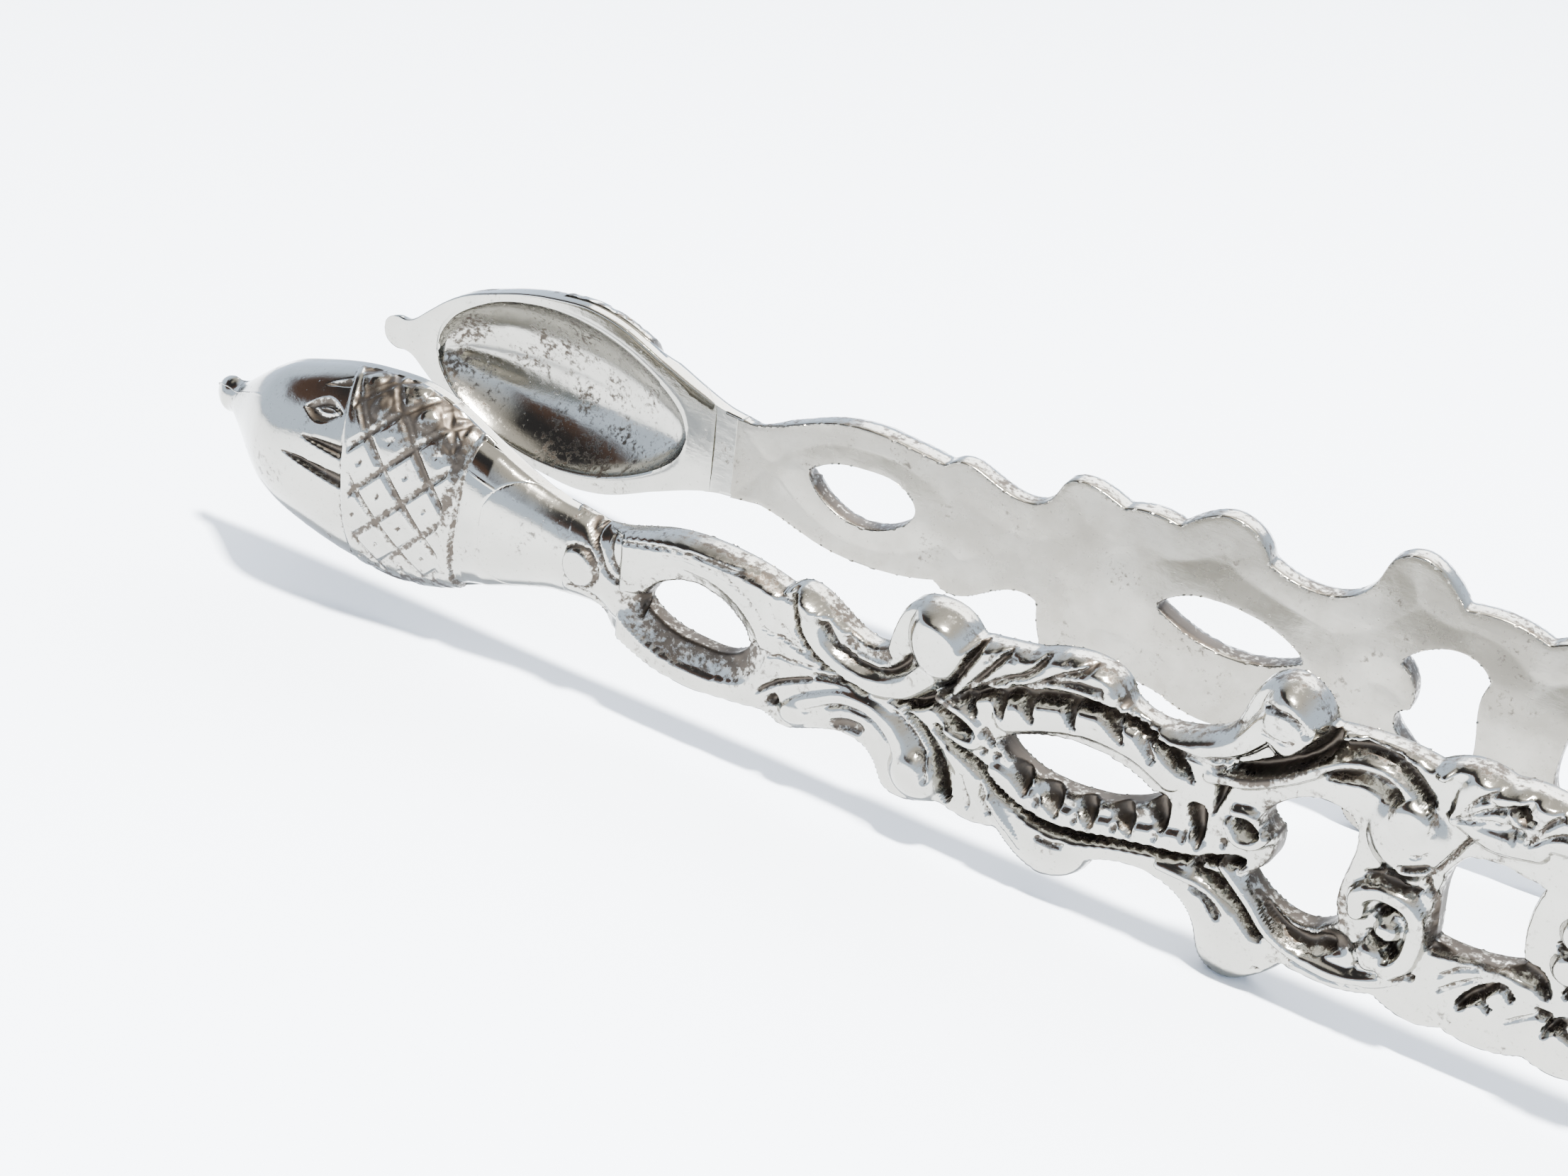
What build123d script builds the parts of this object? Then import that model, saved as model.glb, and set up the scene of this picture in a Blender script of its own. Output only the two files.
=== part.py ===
from build123d import *

# Cast silver ice tongs: two identical openwork arms with acorn bowls, soldered to a spring bow.
#
# Each arm is drawn once in its own frame: X runs along the arm from the acorn's nub, Z across it, and the
# ornamented outer face looks along -Y from the flat inner face at Y = 0. The front arm is then swung into
# place, and the rear arm is the same casting turned half a turn about the tongs' long axis.

import math
import os

# Driving dimensions, in millimetres and degrees.
LENGTH = 148.0  # nub tip to the outside of the bow
NUB_TIP = -0.6  # the nub's tip along the arm's own frame
TIP_HALF_GAP = 7.7  # middle plane to an arm's inner face, at the arm frame's origin
SPLAY = 1.8  # each arm's outward lean towards the bow
CENTRE_HEIGHT = 10.41  # the arms' centre line above the lowest scroll
WEB = 1.1  # thickness of the pierced plate
RELIEF = 2.4  # thickness over the raised scrollwork

# Acorn bowl. Each section is half an ellipse on the flat rim: (along, half width, depth).
NUB_RADIUS = 1.25
NUT = [
    (1.5, 1.15, 1.2), (2.1, 1.5, 1.7), (3.1, 2.3, 2.5), (4.6, 3.45, 3.6), (6.9, 4.8, 4.8),
    (9.2, 5.6, 5.3), (12.4, 6.4, 5.15), (15.8, 6.8, 4.65), (18.9, 6.5, 3.95), (21.4, 5.6, 3.35),
]
CUP = [(13.8, 6.65, 5.05), (15.8, 6.92, 4.8), (17.1, 6.9, 4.5), (18.9, 6.62, 4.1), (20.4, 6.15, 3.75), (22.1, 5.45, 3.4)]
HOLLOW = [(4.2, 0.0), (4.6, 1.4), (6.0, 3.1), (9.0, 4.8), (12.0, 5.6), (15.0, 5.8), (18.0, 5.4), (21.0, 4.4), (23.5, 3.0),
          (25.0, 1.6), (25.6, 0.0)]  # along, half width
HOLLOW_DEPTH = 0.62  # depth over half width

# Trumpet-shaped neck between the acorn's cup and the openwork.
NECK = [(20.5, 5.6), (21.8, 5.05), (23.9, 4.35), (25.4, 3.85), (26.9, 3.4), (28.3, 3.1), (29.6, 2.95), (31.0, 2.8), (32.6, 2.7)]
NECK_DEPTH = 0.7
PELLETS = [(30.6, 0.0, 0.95), (31.0, 1.9, 0.6), (31.0, -1.9, 0.6)]  # along, across, radius
BEND_POINT = 33.0  # each neck is bent a little here, so that the bowls sit as the hand fitted pair does
FRONT_BEND = (0.0, 1.56)  # outward and upward, in degrees
REAR_BEND = (2.43, 0.0)

# Solder seams. Each is a scarf: the (along, outward) points where the sloping cut meets the two faces.
NECK_SCARF = ((23.4, 3.4), (27.6, 0.0))
BOW_SCARF = ((117.0, 1.25), (113.0, 0.0))
SOLDER = 0.12

# Spring bow.
STRIP = 1.25  # strip thickness
SHOULDER_WIDTH = 9.0
BEND_WIDTH = 16.0
SHOULDER = (109.8, 118.0)  # where the arm's plate is as thick as the strip it meets

# Edges of the openwork, one list of points for each smooth stretch. Stretches meet in sharp notches.
UPPER_EDGE = [
    [(29.0, 2.75), (31.0, 2.7), (33.5, 3.2), (36.5, 4.15), (40.0, 4.5), (43.0, 4.25), (45.1, 3.75)],
    [(45.1, 3.75), (46.5, 4.35), (47.9, 3.9), (49.4, 3.0), (51.0, 2.45), (52.3, 2.75)],
    [(52.3, 2.75), (52.6, 4.6), (53.4, 6.1), (55.1, 6.65), (56.7, 6.3), (57.6, 5.4)],
    [(57.6, 5.4), (59.4, 5.7), (61.2, 6.0)],
    [(61.2, 6.0), (63.2, 6.7), (65.0, 6.85), (66.4, 6.45), (67.1, 5.5)],
    [(67.1, 5.5), (68.9, 4.75), (71.2, 5.15), (72.9, 6.1), (73.6, 7.7), (74.3, 9.5), (75.8, 10.4), (77.3, 9.9), (78.3, 8.4)],
    [(78.3, 8.4), (80.4, 8.75), (82.4, 8.8), (84.0, 8.6)],
    [(84.0, 8.6), (85.6, 9.4), (87.8, 9.2)],
    [(87.8, 9.2), (89.6, 9.4), (91.6, 9.0)],
    [(91.6, 9.0), (93.5, 9.5), (95.4, 9.0)],
    [(95.4, 9.0), (97.4, 9.4), (99.2, 9.2)],
    [(99.2, 9.2), (101.4, 9.3), (103.0, 8.5)],
    [(103.0, 8.5), (105.0, 8.6), (106.8, 7.9), (108.0, 6.6)],
    [(108.0, 6.6), (109.6, 6.4), (111.0, 5.4), (112.6, 4.7), (115.0, 4.5), (117.5, 4.5)],
]
LOWER_EDGE = [
    [(29.0, -2.7), (31.0, -2.85), (33.5, -3.7), (36.5, -4.8), (39.2, -5.15), (42.2, -4.9), (44.8, -4.5)],
    [(44.8, -4.5), (46.1, -5.1), (47.8, -4.6), (49.6, -3.95), (51.5, -4.05), (52.4, -4.9), (53.1, -6.1), (54.3, -6.45), (55.8, -6.1), (57.0, -5.6)],
    [(57.0, -5.6), (59.0, -5.95), (60.7, -5.65)],
    [(60.7, -5.65), (62.2, -6.8), (63.6, -7.3), (65.2, -6.95), (66.7, -5.1)],
    [(66.7, -5.1), (69.4, -4.35), (71.8, -4.8), (73.2, -6.3), (73.9, -8.0), (75.2, -8.65), (76.9, -8.1), (78.6, -6.3)],
    [(78.6, -6.3), (80.6, -6.5), (83.7, -5.8)],
    [(83.7, -5.8), (85.6, -6.45), (87.6, -6.0)],
    [(87.6, -6.0), (89.6, -6.25), (92.0, -5.6)],
    [(92.0, -5.6), (93.6, -5.95), (95.2, -5.6)],
    [(95.2, -5.6), (97.4, -6.25), (99.4, -6.0)],
    [(99.4, -6.0), (101.4, -6.45), (103.3, -5.8)],
    [(103.3, -5.8), (105.2, -6.7), (107.0, -6.3), (108.2, -5.2)],
    [(108.2, -5.2), (110.6, -5.1), (112.6, -4.6), (115.0, -4.5), (117.5, -4.5)],
]
# Piercings, each a closed curve through its points, or through stretches where it has corners.
PIERCINGS = {
    "loop": [[(35.2, -0.9), (36.6, 0.9), (39.2, 1.8), (41.9, 1.0), (43.1, -0.5), (42.2, -1.8), (39.6, -2.3), (36.8, -1.9), (35.2, -0.9)]],
    "oval": [
        [(60.1, 0.1), (62.4, 1.3), (65.2, 1.85), (67.6, 1.6), (70.0, 0.5)],
        [(70.0, 0.5), (67.8, -0.9), (65.0, -1.5), (62.2, -1.3), (60.1, 0.1)],
    ],
    "arch": [
        [(76.8, 1.2), (76.0, 2.1), (76.9, 3.4), (78.8, 4.4), (80.6, 4.0), (81.0, 2.2), (80.7, 0.2), (81.0, -2.2)],
        [(81.0, -2.2), (79.2, -3.5), (77.2, -3.1), (75.6, -1.7)],
        [(75.6, -1.7), (76.7, -0.6), (76.8, 1.2)],
    ],
    "window": [
        [(86.1, -1.3), (85.9, 1.0), (86.0, 3.0), (86.9, 4.5)],
        [(86.9, 4.5), (88.8, 4.8), (90.8, 4.4)],
        [(90.8, 4.4), (90.4, 1.9), (90.9, -0.6)],
        [(90.9, -0.6), (88.4, -1.3), (86.1, -1.3)],
    ],
    "far_window": [
        [(100.9, -1.3), (101.1, 1.0), (101.0, 3.0), (100.1, 4.5)],
        [(100.1, 4.5), (98.2, 4.8), (96.2, 4.4)],
        [(96.2, 4.4), (96.6, 1.9), (96.1, -0.6)],
        [(96.1, -0.6), (98.6, -1.3), (100.9, -1.3)],
    ],
    "teardrop": [
        [(110.6, 0.2), (108.6, 1.9), (106.6, 2.6), (105.5, 1.0), (105.9, -1.1), (107.4, -1.9), (109.2, -1.2), (110.6, 0.2)],
    ],
}
# Flat raised ovals round the openings: (along, across, half length, half width).
RIMS = [(39.3, -0.3, 5.3, 4.1), (65.6, 0.1, 9.6, 4.3), (107.3, 0.2, 4.6, 3.6)]
RIM_HEIGHT = 1.9  # thickness over a raised oval
# Domed scrolls, leaves and beads: (along, across, half length, half width, turn, rise above the plate).
BOSSES = [
    (46.3, 2.5, 2.0, 1.5, -20, 0.9),
    (46.4, -3.2, 2.0, 1.4, 15, 0.9),
    (55.2, 4.6, 2.2, 2.0, 30, 1.3),
    (54.5, -4.6, 2.2, 1.8, -20, 1.2),
    (63.9, 5.3, 3.0, 1.4, 10, 1.0),
    (63.6, -5.5, 2.7, 1.7, 0, 1.1),
    (70.5, 3.6, 2.6, 1.2, 25, 0.8),
    (70.6, -3.4, 2.6, 1.1, -20, 0.8),
    (75.7, 8.1, 2.2, 2.2, 0, 1.4),
    (75.3, -6.4, 2.3, 2.1, 0, 1.4),
    (80.9, 7.4, 3.2, 1.3, 5, 1.0),
    (81.0, -4.9, 2.8, 1.4, 5, 1.0),
    (83.4, 3.1, 1.9, 2.7, 0, 1.3),
    (83.3, -2.2, 1.6, 1.8, 0, 1.1),
    (87.9, 7.0, 3.0, 2.0, 0, 1.1),
    (87.8, -3.7, 3.0, 1.9, 0, 1.0),
    (93.5, 1.6, 2.4, 4.6, 0, 1.4),
    (99.1, 7.0, 3.0, 2.0, 0, 1.1),
    (99.2, -3.7, 3.0, 1.9, 0, 1.0),
    (103.4, 4.6, 2.2, 3.0, 0, 1.3),
    (103.5, -3.3, 2.0, 2.2, 0, 1.2),
]


def curve(stretches):
    """One smooth spline for each stretch of points."""
    return [Spline(*stretch) for stretch in stretches]


def prism(points):
    """A tall prism over a polygon of (along, outward) points."""
    face = make_face(Polyline(*[(along, -outward) for along, outward in points], close=True))
    return extrude(face, amount=40, both=True)


def past(cut, direction):
    """Everything beyond a sloping cut: direction +1 for the bow's side, -1 for the nub's."""
    (x0, n0), (x1, n1) = cut
    slope = (x1 - x0) / (n1 - n0)
    inner, outer = x0 + slope * (-20 - n0), x0 + slope * (20 - n0)
    reach = direction * 200
    return prism([(inner, -20), (outer, 20), (outer + reach, 20), (inner + reach, -20)])


def beyond_solder(cut):
    """The same cut moved towards the bow by the solder's thickness."""
    (x0, n0), (x1, n1) = cut
    step = SOLDER * math.hypot(x1 - x0, n1 - n0) / abs(n1 - n0)
    return (x0 + step, n0), (x1 + step, n1)


def half_round(stations, depth):
    """The outer half of a body turned about X, with its depth scaled."""
    (first, first_radius), (last, last_radius) = stations[0], stations[-1]
    edges = [Spline(*stations), Line((last, 0), (first, 0))]
    if last_radius > 0:
        edges.append(Line((last, last_radius), (last, 0)))
    if first_radius > 0:
        edges.append(Line((first, 0), (first, first_radius)))
    # Turning the profile half a turn from +Z through -Y to -Z leaves a flat inner face at Y = 0.
    return scale(revolve(Plane.XZ * make_face(edges), Axis.X, 180), by=(1, depth, 1))


def openwork(height):
    """The pierced plate of the arm, carried out to the given height."""
    near_end = Line(LOWER_EDGE[0][0], UPPER_EDGE[0][0])
    far_end = Line(UPPER_EDGE[-1][-1], LOWER_EDGE[-1][-1])
    face = make_face([*curve(UPPER_EDGE), far_end, *curve(LOWER_EDGE), near_end])
    for stretches in PIERCINGS.values():
        face -= make_face(curve(stretches))
    return extrude(Plane.XZ * face, amount=height)


def scrollwork():
    """Shoulder, raised ovals and domed scrolls, before they are trimmed to the openwork's edges."""
    start, end = SHOULDER
    raised = [Pos((start + end) / 2, -STRIP / 2, 0) * Box(end - start, STRIP, 2 * SHOULDER_WIDTH)]
    for x, z, half_length, half_width in RIMS:
        raised.append(extrude(Plane.XZ * Pos(x, z) * Ellipse(half_length, half_width), amount=RIM_HEIGHT))
    for x, z, half_length, half_width, turn, rise in BOSSES:
        dome = scale(Sphere(1), by=(half_length, rise, half_width))
        raised.append(Pos(x, -WEB, z) * Rot(0, -turn, 0) * dome)
    return raised


def bulb(sections):
    """A smooth half-elliptical body through its sections, flat on the inner side."""
    faces = []
    for along, half_width, depth in sections:
        # In this plane the first axis runs outwards and the second across the arm.
        plane = Plane(origin=(along, 0, 0), x_dir=(0, -1, 0), z_dir=(1, 0, 0))
        half = Ellipse(depth, half_width) & Pos(depth, 0) * Rectangle(2 * depth, 4 * half_width)
        faces.append(plane * half)
    return loft(faces)


def neck():
    """The solid trumpet of the neck, before the scarf is cut."""
    return half_round(NECK, NECK_DEPTH)


def acorn():
    """Hollow acorn bowl with its nub, up to the sloping cut at the neck."""
    centre = NUB_TIP + NUB_RADIUS
    nub = Pos(centre, 0, 0) * Sphere(NUB_RADIUS) & Pos(centre, -5, 0) * Box(12, 10, 6)
    stalk = half_round([(centre, 1.0), (2.4, 1.0)], 1.0)
    heel = neck() & past(NECK_SCARF, -1)
    return nub + stalk + bulb(NUT) + bulb(CUP) + heel - half_round(HOLLOW, HOLLOW_DEPTH)


def arm(bend):
    """Cast openwork arm between its two scarf cuts."""
    plate = openwork(WEB)
    for piece in scrollwork():
        plate += piece
    plate &= openwork(RELIEF)
    trumpet = neck() & past(beyond_solder(NECK_SCARF), 1)
    for x, z, radius in PELLETS:
        trumpet += Pos(x, -math.sqrt(NECK[-2][1] ** 2 - z**2) * NECK_DEPTH, z) * Sphere(radius)
    return (plate + bend * trumpet) & past(BOW_SCARF, -1)


def neck_solder():
    """Solder film between the acorn's heel and the neck."""
    return neck() & past(NECK_SCARF, 1) & past(beyond_solder(NECK_SCARF), -1)


def bow_solder():
    """Solder film between the arm's shoulder and the bow's end."""
    strip = Pos(115, -STRIP / 2, 0) * Box(20, STRIP, SHOULDER_WIDTH)
    return strip & past(BOW_SCARF, 1) & past(beyond_solder(BOW_SCARF), -1)


def bent(outward, upward):
    """The move that bends a neck and its bowl about the bend point."""
    return Pos(BEND_POINT, 0, 0) * Rot(0, upward, outward) * Pos(-BEND_POINT, 0, 0)


# Where the front arm's frame sits in the tongs' frame, and the half turn that gives the rear arm.
ORIGIN_X = -LENGTH / 2 - NUB_TIP
FRONT = Pos(ORIGIN_X, -TIP_HALF_GAP, CENTRE_HEIGHT) * Rot(0, 0, -SPLAY)
REAR = Pos(0, 0, CENTRE_HEIGHT) * Rot(180, 0, 0) * Pos(0, 0, -CENTRE_HEIGHT) * FRONT


def bow():
    """U-shaped spring strip whose cheeks run straight on from the arms."""
    lean = math.radians(SPLAY)
    # The bend's inside is tangent to both arms' inner faces.
    from_origin = (LENGTH / 2 - STRIP - ORIGIN_X) * math.sin(lean)
    inside = (TIP_HALF_GAP * math.cos(lean) + from_origin) / (1 + math.sin(lean))
    centre = LENGTH / 2 - STRIP - inside
    tangent = (centre - ORIGIN_X) * math.cos(lean) - TIP_HALF_GAP * math.sin(lean)

    def spot(along, outward, side):
        """A point of the front arm's frame in plan, or its mirror image on the rear arm."""
        x = ORIGIN_X + along * math.cos(lean) - outward * math.sin(lean)
        y = TIP_HALF_GAP + along * math.sin(lean) + outward * math.cos(lean)
        return x, side * y

    (outer_end, _), (inner_end, _) = beyond_solder(BOW_SCARF)
    edges = [
        ThreePointArc(spot(tangent, 0, -1), (centre + inside, 0), spot(tangent, 0, 1)),
        ThreePointArc(spot(tangent, STRIP, -1), (centre + inside + STRIP, 0), spot(tangent, STRIP, 1)),
    ]
    for side in (-1, 1):
        edges.append(Line(spot(inner_end, 0, side), spot(tangent, 0, side)))
        edges.append(Line(spot(outer_end, STRIP, side), spot(tangent, STRIP, side)))
        edges.append(Line(spot(inner_end, 0, side), spot(outer_end, STRIP, side)))
    strip = extrude(make_face(edges), amount=BEND_WIDTH, both=True)

    # Seen from the side, the strip swells from the shoulders to the bend, where its edges run level.
    start, end = ORIGIN_X + inner_end - 1, LENGTH / 2 + 1
    narrow, wide = SHOULDER_WIDTH / 2, BEND_WIDTH / 2
    outline = [Line((start, -narrow), (start, narrow)), Line((end, -wide), (end, wide))]
    for side in (-1, 1):
        swell = [(start, side * narrow), (start + 9, side * narrow * 1.02), (centre, side * wide)]
        outline.append(Spline(*swell, tangents=[(1, 0), (1, 0)]))
        outline.append(Line(swell[-1], (end, side * wide)))
    side_view = extrude(Plane.XZ * make_face(outline), amount=30, both=True)
    return Pos(0, 0, CENTRE_HEIGHT) * (strip & side_view)


def main():
    os.makedirs("parts", exist_ok=True)
    nodes = {"spring_bow": bow()}
    for side, place, bend in (("front", FRONT, bent(*FRONT_BEND)), ("rear", REAR, bent(*REAR_BEND))):
        nodes[f"{side}_arm"] = place * arm(bend)
        nodes[f"{side}_acorn_bowl"] = place * bend * acorn()
        nodes[f"{side}_neck_solder"] = place * bend * neck_solder()
        nodes[f"{side}_bow_solder"] = place * bow_solder()
    for name, shape in nodes.items():
        export_step(shape, f"parts/{name}.step")


main()
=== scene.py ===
import math

import bmesh
import bpy
import numpy as np
from mathutils import Matrix, Vector, kdtree


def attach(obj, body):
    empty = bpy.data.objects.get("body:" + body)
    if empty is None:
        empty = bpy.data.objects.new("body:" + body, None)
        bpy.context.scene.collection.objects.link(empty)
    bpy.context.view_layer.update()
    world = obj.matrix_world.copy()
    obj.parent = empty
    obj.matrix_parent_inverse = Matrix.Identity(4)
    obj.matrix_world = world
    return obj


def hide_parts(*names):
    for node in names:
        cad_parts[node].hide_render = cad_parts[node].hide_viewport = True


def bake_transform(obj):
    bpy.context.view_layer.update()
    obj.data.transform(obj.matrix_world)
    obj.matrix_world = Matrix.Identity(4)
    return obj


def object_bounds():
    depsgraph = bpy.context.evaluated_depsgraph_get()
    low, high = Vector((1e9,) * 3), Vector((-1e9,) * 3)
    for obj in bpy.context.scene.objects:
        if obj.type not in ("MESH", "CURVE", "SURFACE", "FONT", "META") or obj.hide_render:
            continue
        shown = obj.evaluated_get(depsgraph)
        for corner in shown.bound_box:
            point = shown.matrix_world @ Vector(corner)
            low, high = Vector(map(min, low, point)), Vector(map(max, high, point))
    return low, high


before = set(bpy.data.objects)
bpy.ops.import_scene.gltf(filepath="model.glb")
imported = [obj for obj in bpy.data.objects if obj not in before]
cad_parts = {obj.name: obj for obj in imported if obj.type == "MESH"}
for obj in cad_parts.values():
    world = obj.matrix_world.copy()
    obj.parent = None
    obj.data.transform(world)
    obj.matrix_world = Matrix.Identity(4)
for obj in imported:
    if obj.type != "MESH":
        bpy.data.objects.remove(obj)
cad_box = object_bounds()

# Shapes are in millimetres, and MM turns them into metres. Lights and materials are in metres.
MM = 0.001
LENGTH = 2 * cad_box[1].x / MM  # nub tip to the outside of the bow
CENTRE = (cad_box[1].z + cad_box[0].z) / 2 / MM  # height of the arms' centre line
NUB_TIP = -0.6  # the nub's tip along the arm's own frame
ORIGIN_X = -LENGTH / 2 - NUB_TIP
TIP_HALF_GAP = 7.7  # middle plane to an arm's inner face, at the arm frame's origin
SPLAY = math.radians(1.8)  # each arm's outward lean towards the bow
BEND_POINT = 33.0  # each neck is bent a little here
BEND = {"front": (0.0, math.radians(1.56)), "rear": (math.radians(2.43), 0.0)}  # outward and upward
NECK_SCARF = ((23.4, 3.4), (27.6, 0.0))  # (along, outward) ends of the cut between acorn and neck
BOW_SCARF = ((117.0, 1.25), (113.0, 0.0))
SEAM = 0.12  # solder thickness
STRIP = 1.25  # bow strip thickness


# ---------------------------------------------------------------- the arm's own frame

def to_row(along, across, outward, side):
    """Points of an arm's frame, in millimetres, as metres of the shared frame."""
    x = ORIGIN_X + along * math.cos(SPLAY) - outward * math.sin(SPLAY)
    y = -TIP_HALF_GAP - along * math.sin(SPLAY) - outward * math.cos(SPLAY)
    z = CENTRE + across
    if side == "rear":
        y, z = -y, 2 * CENTRE - z
    return np.stack([x, y, z], axis=-1) * MM


def to_arm(row_points):
    """Metres of the shared frame back to the front arm's (along, across, outward), in millimetres."""
    p = row_points / MM
    x, y = p[:, 0] - ORIGIN_X, p[:, 1] + TIP_HALF_GAP
    along = x * math.cos(SPLAY) - y * math.sin(SPLAY)
    outward = -x * math.sin(SPLAY) - y * math.cos(SPLAY)
    return along, p[:, 2] - CENTRE, outward


def bent(points, side):
    """Swings everything before the bend point with the neck."""
    outward, upward = BEND[side]
    s, t, n = points.T
    back = np.clip(BEND_POINT - s, 0, None)
    ease = np.clip(back / 3, 0, 1)
    shortening = back * (1 - math.cos(outward) * math.cos(upward))
    lean = n * math.sin(outward) + t * math.sin(upward)
    along = s + shortening + ease * lean
    return np.column_stack([along, t + back * math.sin(upward), n + back * math.sin(outward)])


def make_object(name, points, faces, body, nodes, material, attributes=None):
    """A smooth-shaded mesh that rides on a body and stands for CAD nodes."""
    mesh = bpy.data.meshes.new(name)
    mesh.from_pydata([tuple(p) for p in points], [], faces)
    mesh.validate()
    mesh.polygons.foreach_set("use_smooth", [True] * len(mesh.polygons))
    for key, values in (attributes or {}).items():
        layer = mesh.attributes.new(key, "FLOAT", "POINT")
        layer.data.foreach_set("value", np.asarray(values, np.float32))
    mesh.materials.append(material)
    obj = bpy.data.objects.new(name, mesh)
    bpy.context.scene.collection.objects.link(obj)
    if body:
        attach(obj, body)
    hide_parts(*nodes)
    return obj


def weld_and_face_out(obj):
    """Merges doubled points, turns every face outwards and keeps the neck's sloping cut crisp."""
    work = bmesh.new()
    work.from_mesh(obj.data)
    bmesh.ops.remove_doubles(work, verts=work.verts, dist=1e-7)
    bmesh.ops.dissolve_degenerate(work, edges=work.edges, dist=1e-8)
    bmesh.ops.recalc_face_normals(work, faces=work.faces)
    low, high = (ORIGIN_X + 23.0) * MM, (ORIGIN_X + 28.6) * MM
    for edge in work.edges:
        if low < edge.verts[0].co.x < high and edge.calc_face_angle(0.0) > 0.6:
            edge.smooth = False
    work.to_mesh(obj.data)
    work.free()


# ---------------------------------------------------------------- curves and fields

def spline(points, step=0.1):
    """Dense points on a smooth curve through the given ones, with each one's share of the length."""
    p = np.array(points, float)
    if len(p) == 2:
        n = max(2, int(np.linalg.norm(p[1] - p[0]) / step) + 1)
        line = p[0] + (p[1] - p[0]) * np.linspace(0, 1, n)[:, None]
        return line, np.linspace(0, 1, n)
    ends = np.vstack([2 * p[0] - p[1], p, 2 * p[-1] - p[-2]])
    out = []
    for a, b, c, d in zip(ends, ends[1:], ends[2:], ends[3:]):
        n = max(2, int(np.linalg.norm(c - b) / step) + 1)
        t = np.linspace(0, 1, n, endpoint=False)[:, None]
        out.append(0.5 * (2 * b + (c - a) * t + (2 * a - 5 * b + 4 * c - d) * t**2
                          + (3 * b - a - 3 * c + d) * t**3))
    line = np.vstack(out + [p[-1:]])
    run = np.concatenate([[0], np.cumsum(np.linalg.norm(np.diff(line, axis=0), axis=1))])
    return line, run / run[-1]


def interpolate(values, share):
    """A number, or a list of numbers spread evenly along a curve, at each share of its length."""
    if np.isscalar(values):
        return np.full_like(share, values)
    return np.interp(share, np.linspace(0, 1, len(values)), values)


class Relief:
    """Outward height over a regular grid of the arm's plan, built up with strokes."""

    def __init__(self, low, high, step):
        self.step = step
        self.low = np.array(low, float)
        self.count = np.ceil((np.array(high) - self.low) / step).astype(int) + 1
        self.s, self.t = np.meshgrid(
            low[0] + step * np.arange(self.count[0]), low[1] + step * np.arange(self.count[1]), indexing="ij")
        self.height = np.zeros(self.count)
        self.dark = np.zeros(self.count)

    def window(self, points, margin):
        """Index slices that cover the points and a margin round them."""
        lo = np.maximum(((points.min(0) - margin - self.low) / self.step).astype(int), 0)
        hi = np.minimum(((points.max(0) + margin - self.low) / self.step).astype(int) + 2, self.count)
        return slice(lo[0], max(hi[0], lo[0])), slice(lo[1], max(hi[1], lo[1]))

    def near(self, points, margin):
        """Distance to a curve and the share of its length at the nearest point, in a window."""
        line, share = spline(points)
        where = self.window(line, margin)
        s, t = self.s[where], self.t[where]
        best = np.full(s.shape, 1e9)
        at = np.zeros(s.shape)
        for (a, b), u in zip(line, share):
            d = (s - a) ** 2 + (t - b) ** 2
            closer = d < best
            best[closer] = d[closer]
            at[closer] = u
        return where, np.sqrt(best), at

    def band(self, points, width, level):
        """The window round a stroke, with the distance, share, half width and level at each place in it."""
        where, d, u = self.near(points, np.max(width))
        return where, d, u, *(interpolate(v, u.ravel()).reshape(d.shape) for v in (width, level))

    def ridge(self, points, width, top, base=None, sharp=3.5):
        """Raises a rounded band to an absolute height, fading to the base height at its edges."""
        where, d, _, w, crest = self.band(points, width, top)
        foot = crest - 1.1 if base is None else base
        inside = np.clip(1 - (d / w) ** sharp, 0, 1) ** 0.5
        level = np.where(d < w, foot + (crest - foot) * inside, 0)
        self.height[where] = smooth_max(self.height[where], level, 0.2)

    def groove(self, points, width, depth, dark=1.0, blunt=False):
        """Cuts a rounded channel, tapering at both ends unless it is blunt."""
        where, d, u, w, deep = self.band(points, width, depth)
        if not blunt:
            w = w * np.clip(4.2 * np.sqrt(np.clip(u * (1 - u), 0, 1)), 0.25, 1)
        shape = np.clip(1 - (d / w) ** 2, 0, 1)
        self.height[where] -= deep * shape
        self.dark[where] = np.maximum(self.dark[where], dark * shape)

    def oval(self, centre, half_length, half_width, turn):
        """A window round an oval, and how far out each place in it is: 0 in the middle and 1 on its edge."""
        where = self.window(np.array([centre]), max(half_length, half_width))
        s, t = self.s[where] - centre[0], self.t[where] - centre[1]
        c, q = math.cos(math.radians(turn)), math.sin(math.radians(turn))
        return where, ((c * s + q * t) / half_length) ** 2 + ((c * t - q * s) / half_width) ** 2

    def dome(self, centre, half_length, half_width, turn, top, base=None, flat=2.0):
        """Raises an oval dome to an absolute height."""
        where, r = self.oval(centre, half_length, half_width, turn)
        foot = top - 1.1 if base is None else base
        level = np.where(r < 1, foot + (top - foot) * np.clip(1 - r**flat, 0, 1) ** 0.8, 0)
        self.height[where] = smooth_max(self.height[where], level, 0.2)

    def pit(self, centre, half_length, half_width, turn, depth, dark=1.0):
        """Sinks an oval hollow."""
        where, r = self.oval(centre, half_length, half_width, turn)
        shape = np.clip(1 - r, 0, 1)
        self.height[where] -= depth * shape
        self.dark[where] = np.maximum(self.dark[where], dark * shape)


def smooth_max(a, b, k):
    return 0.5 * (a + b + np.sqrt((a - b) ** 2 + k * k))


def smooth_min(a, b, k):
    return -smooth_max(-a, -b, k)


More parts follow.
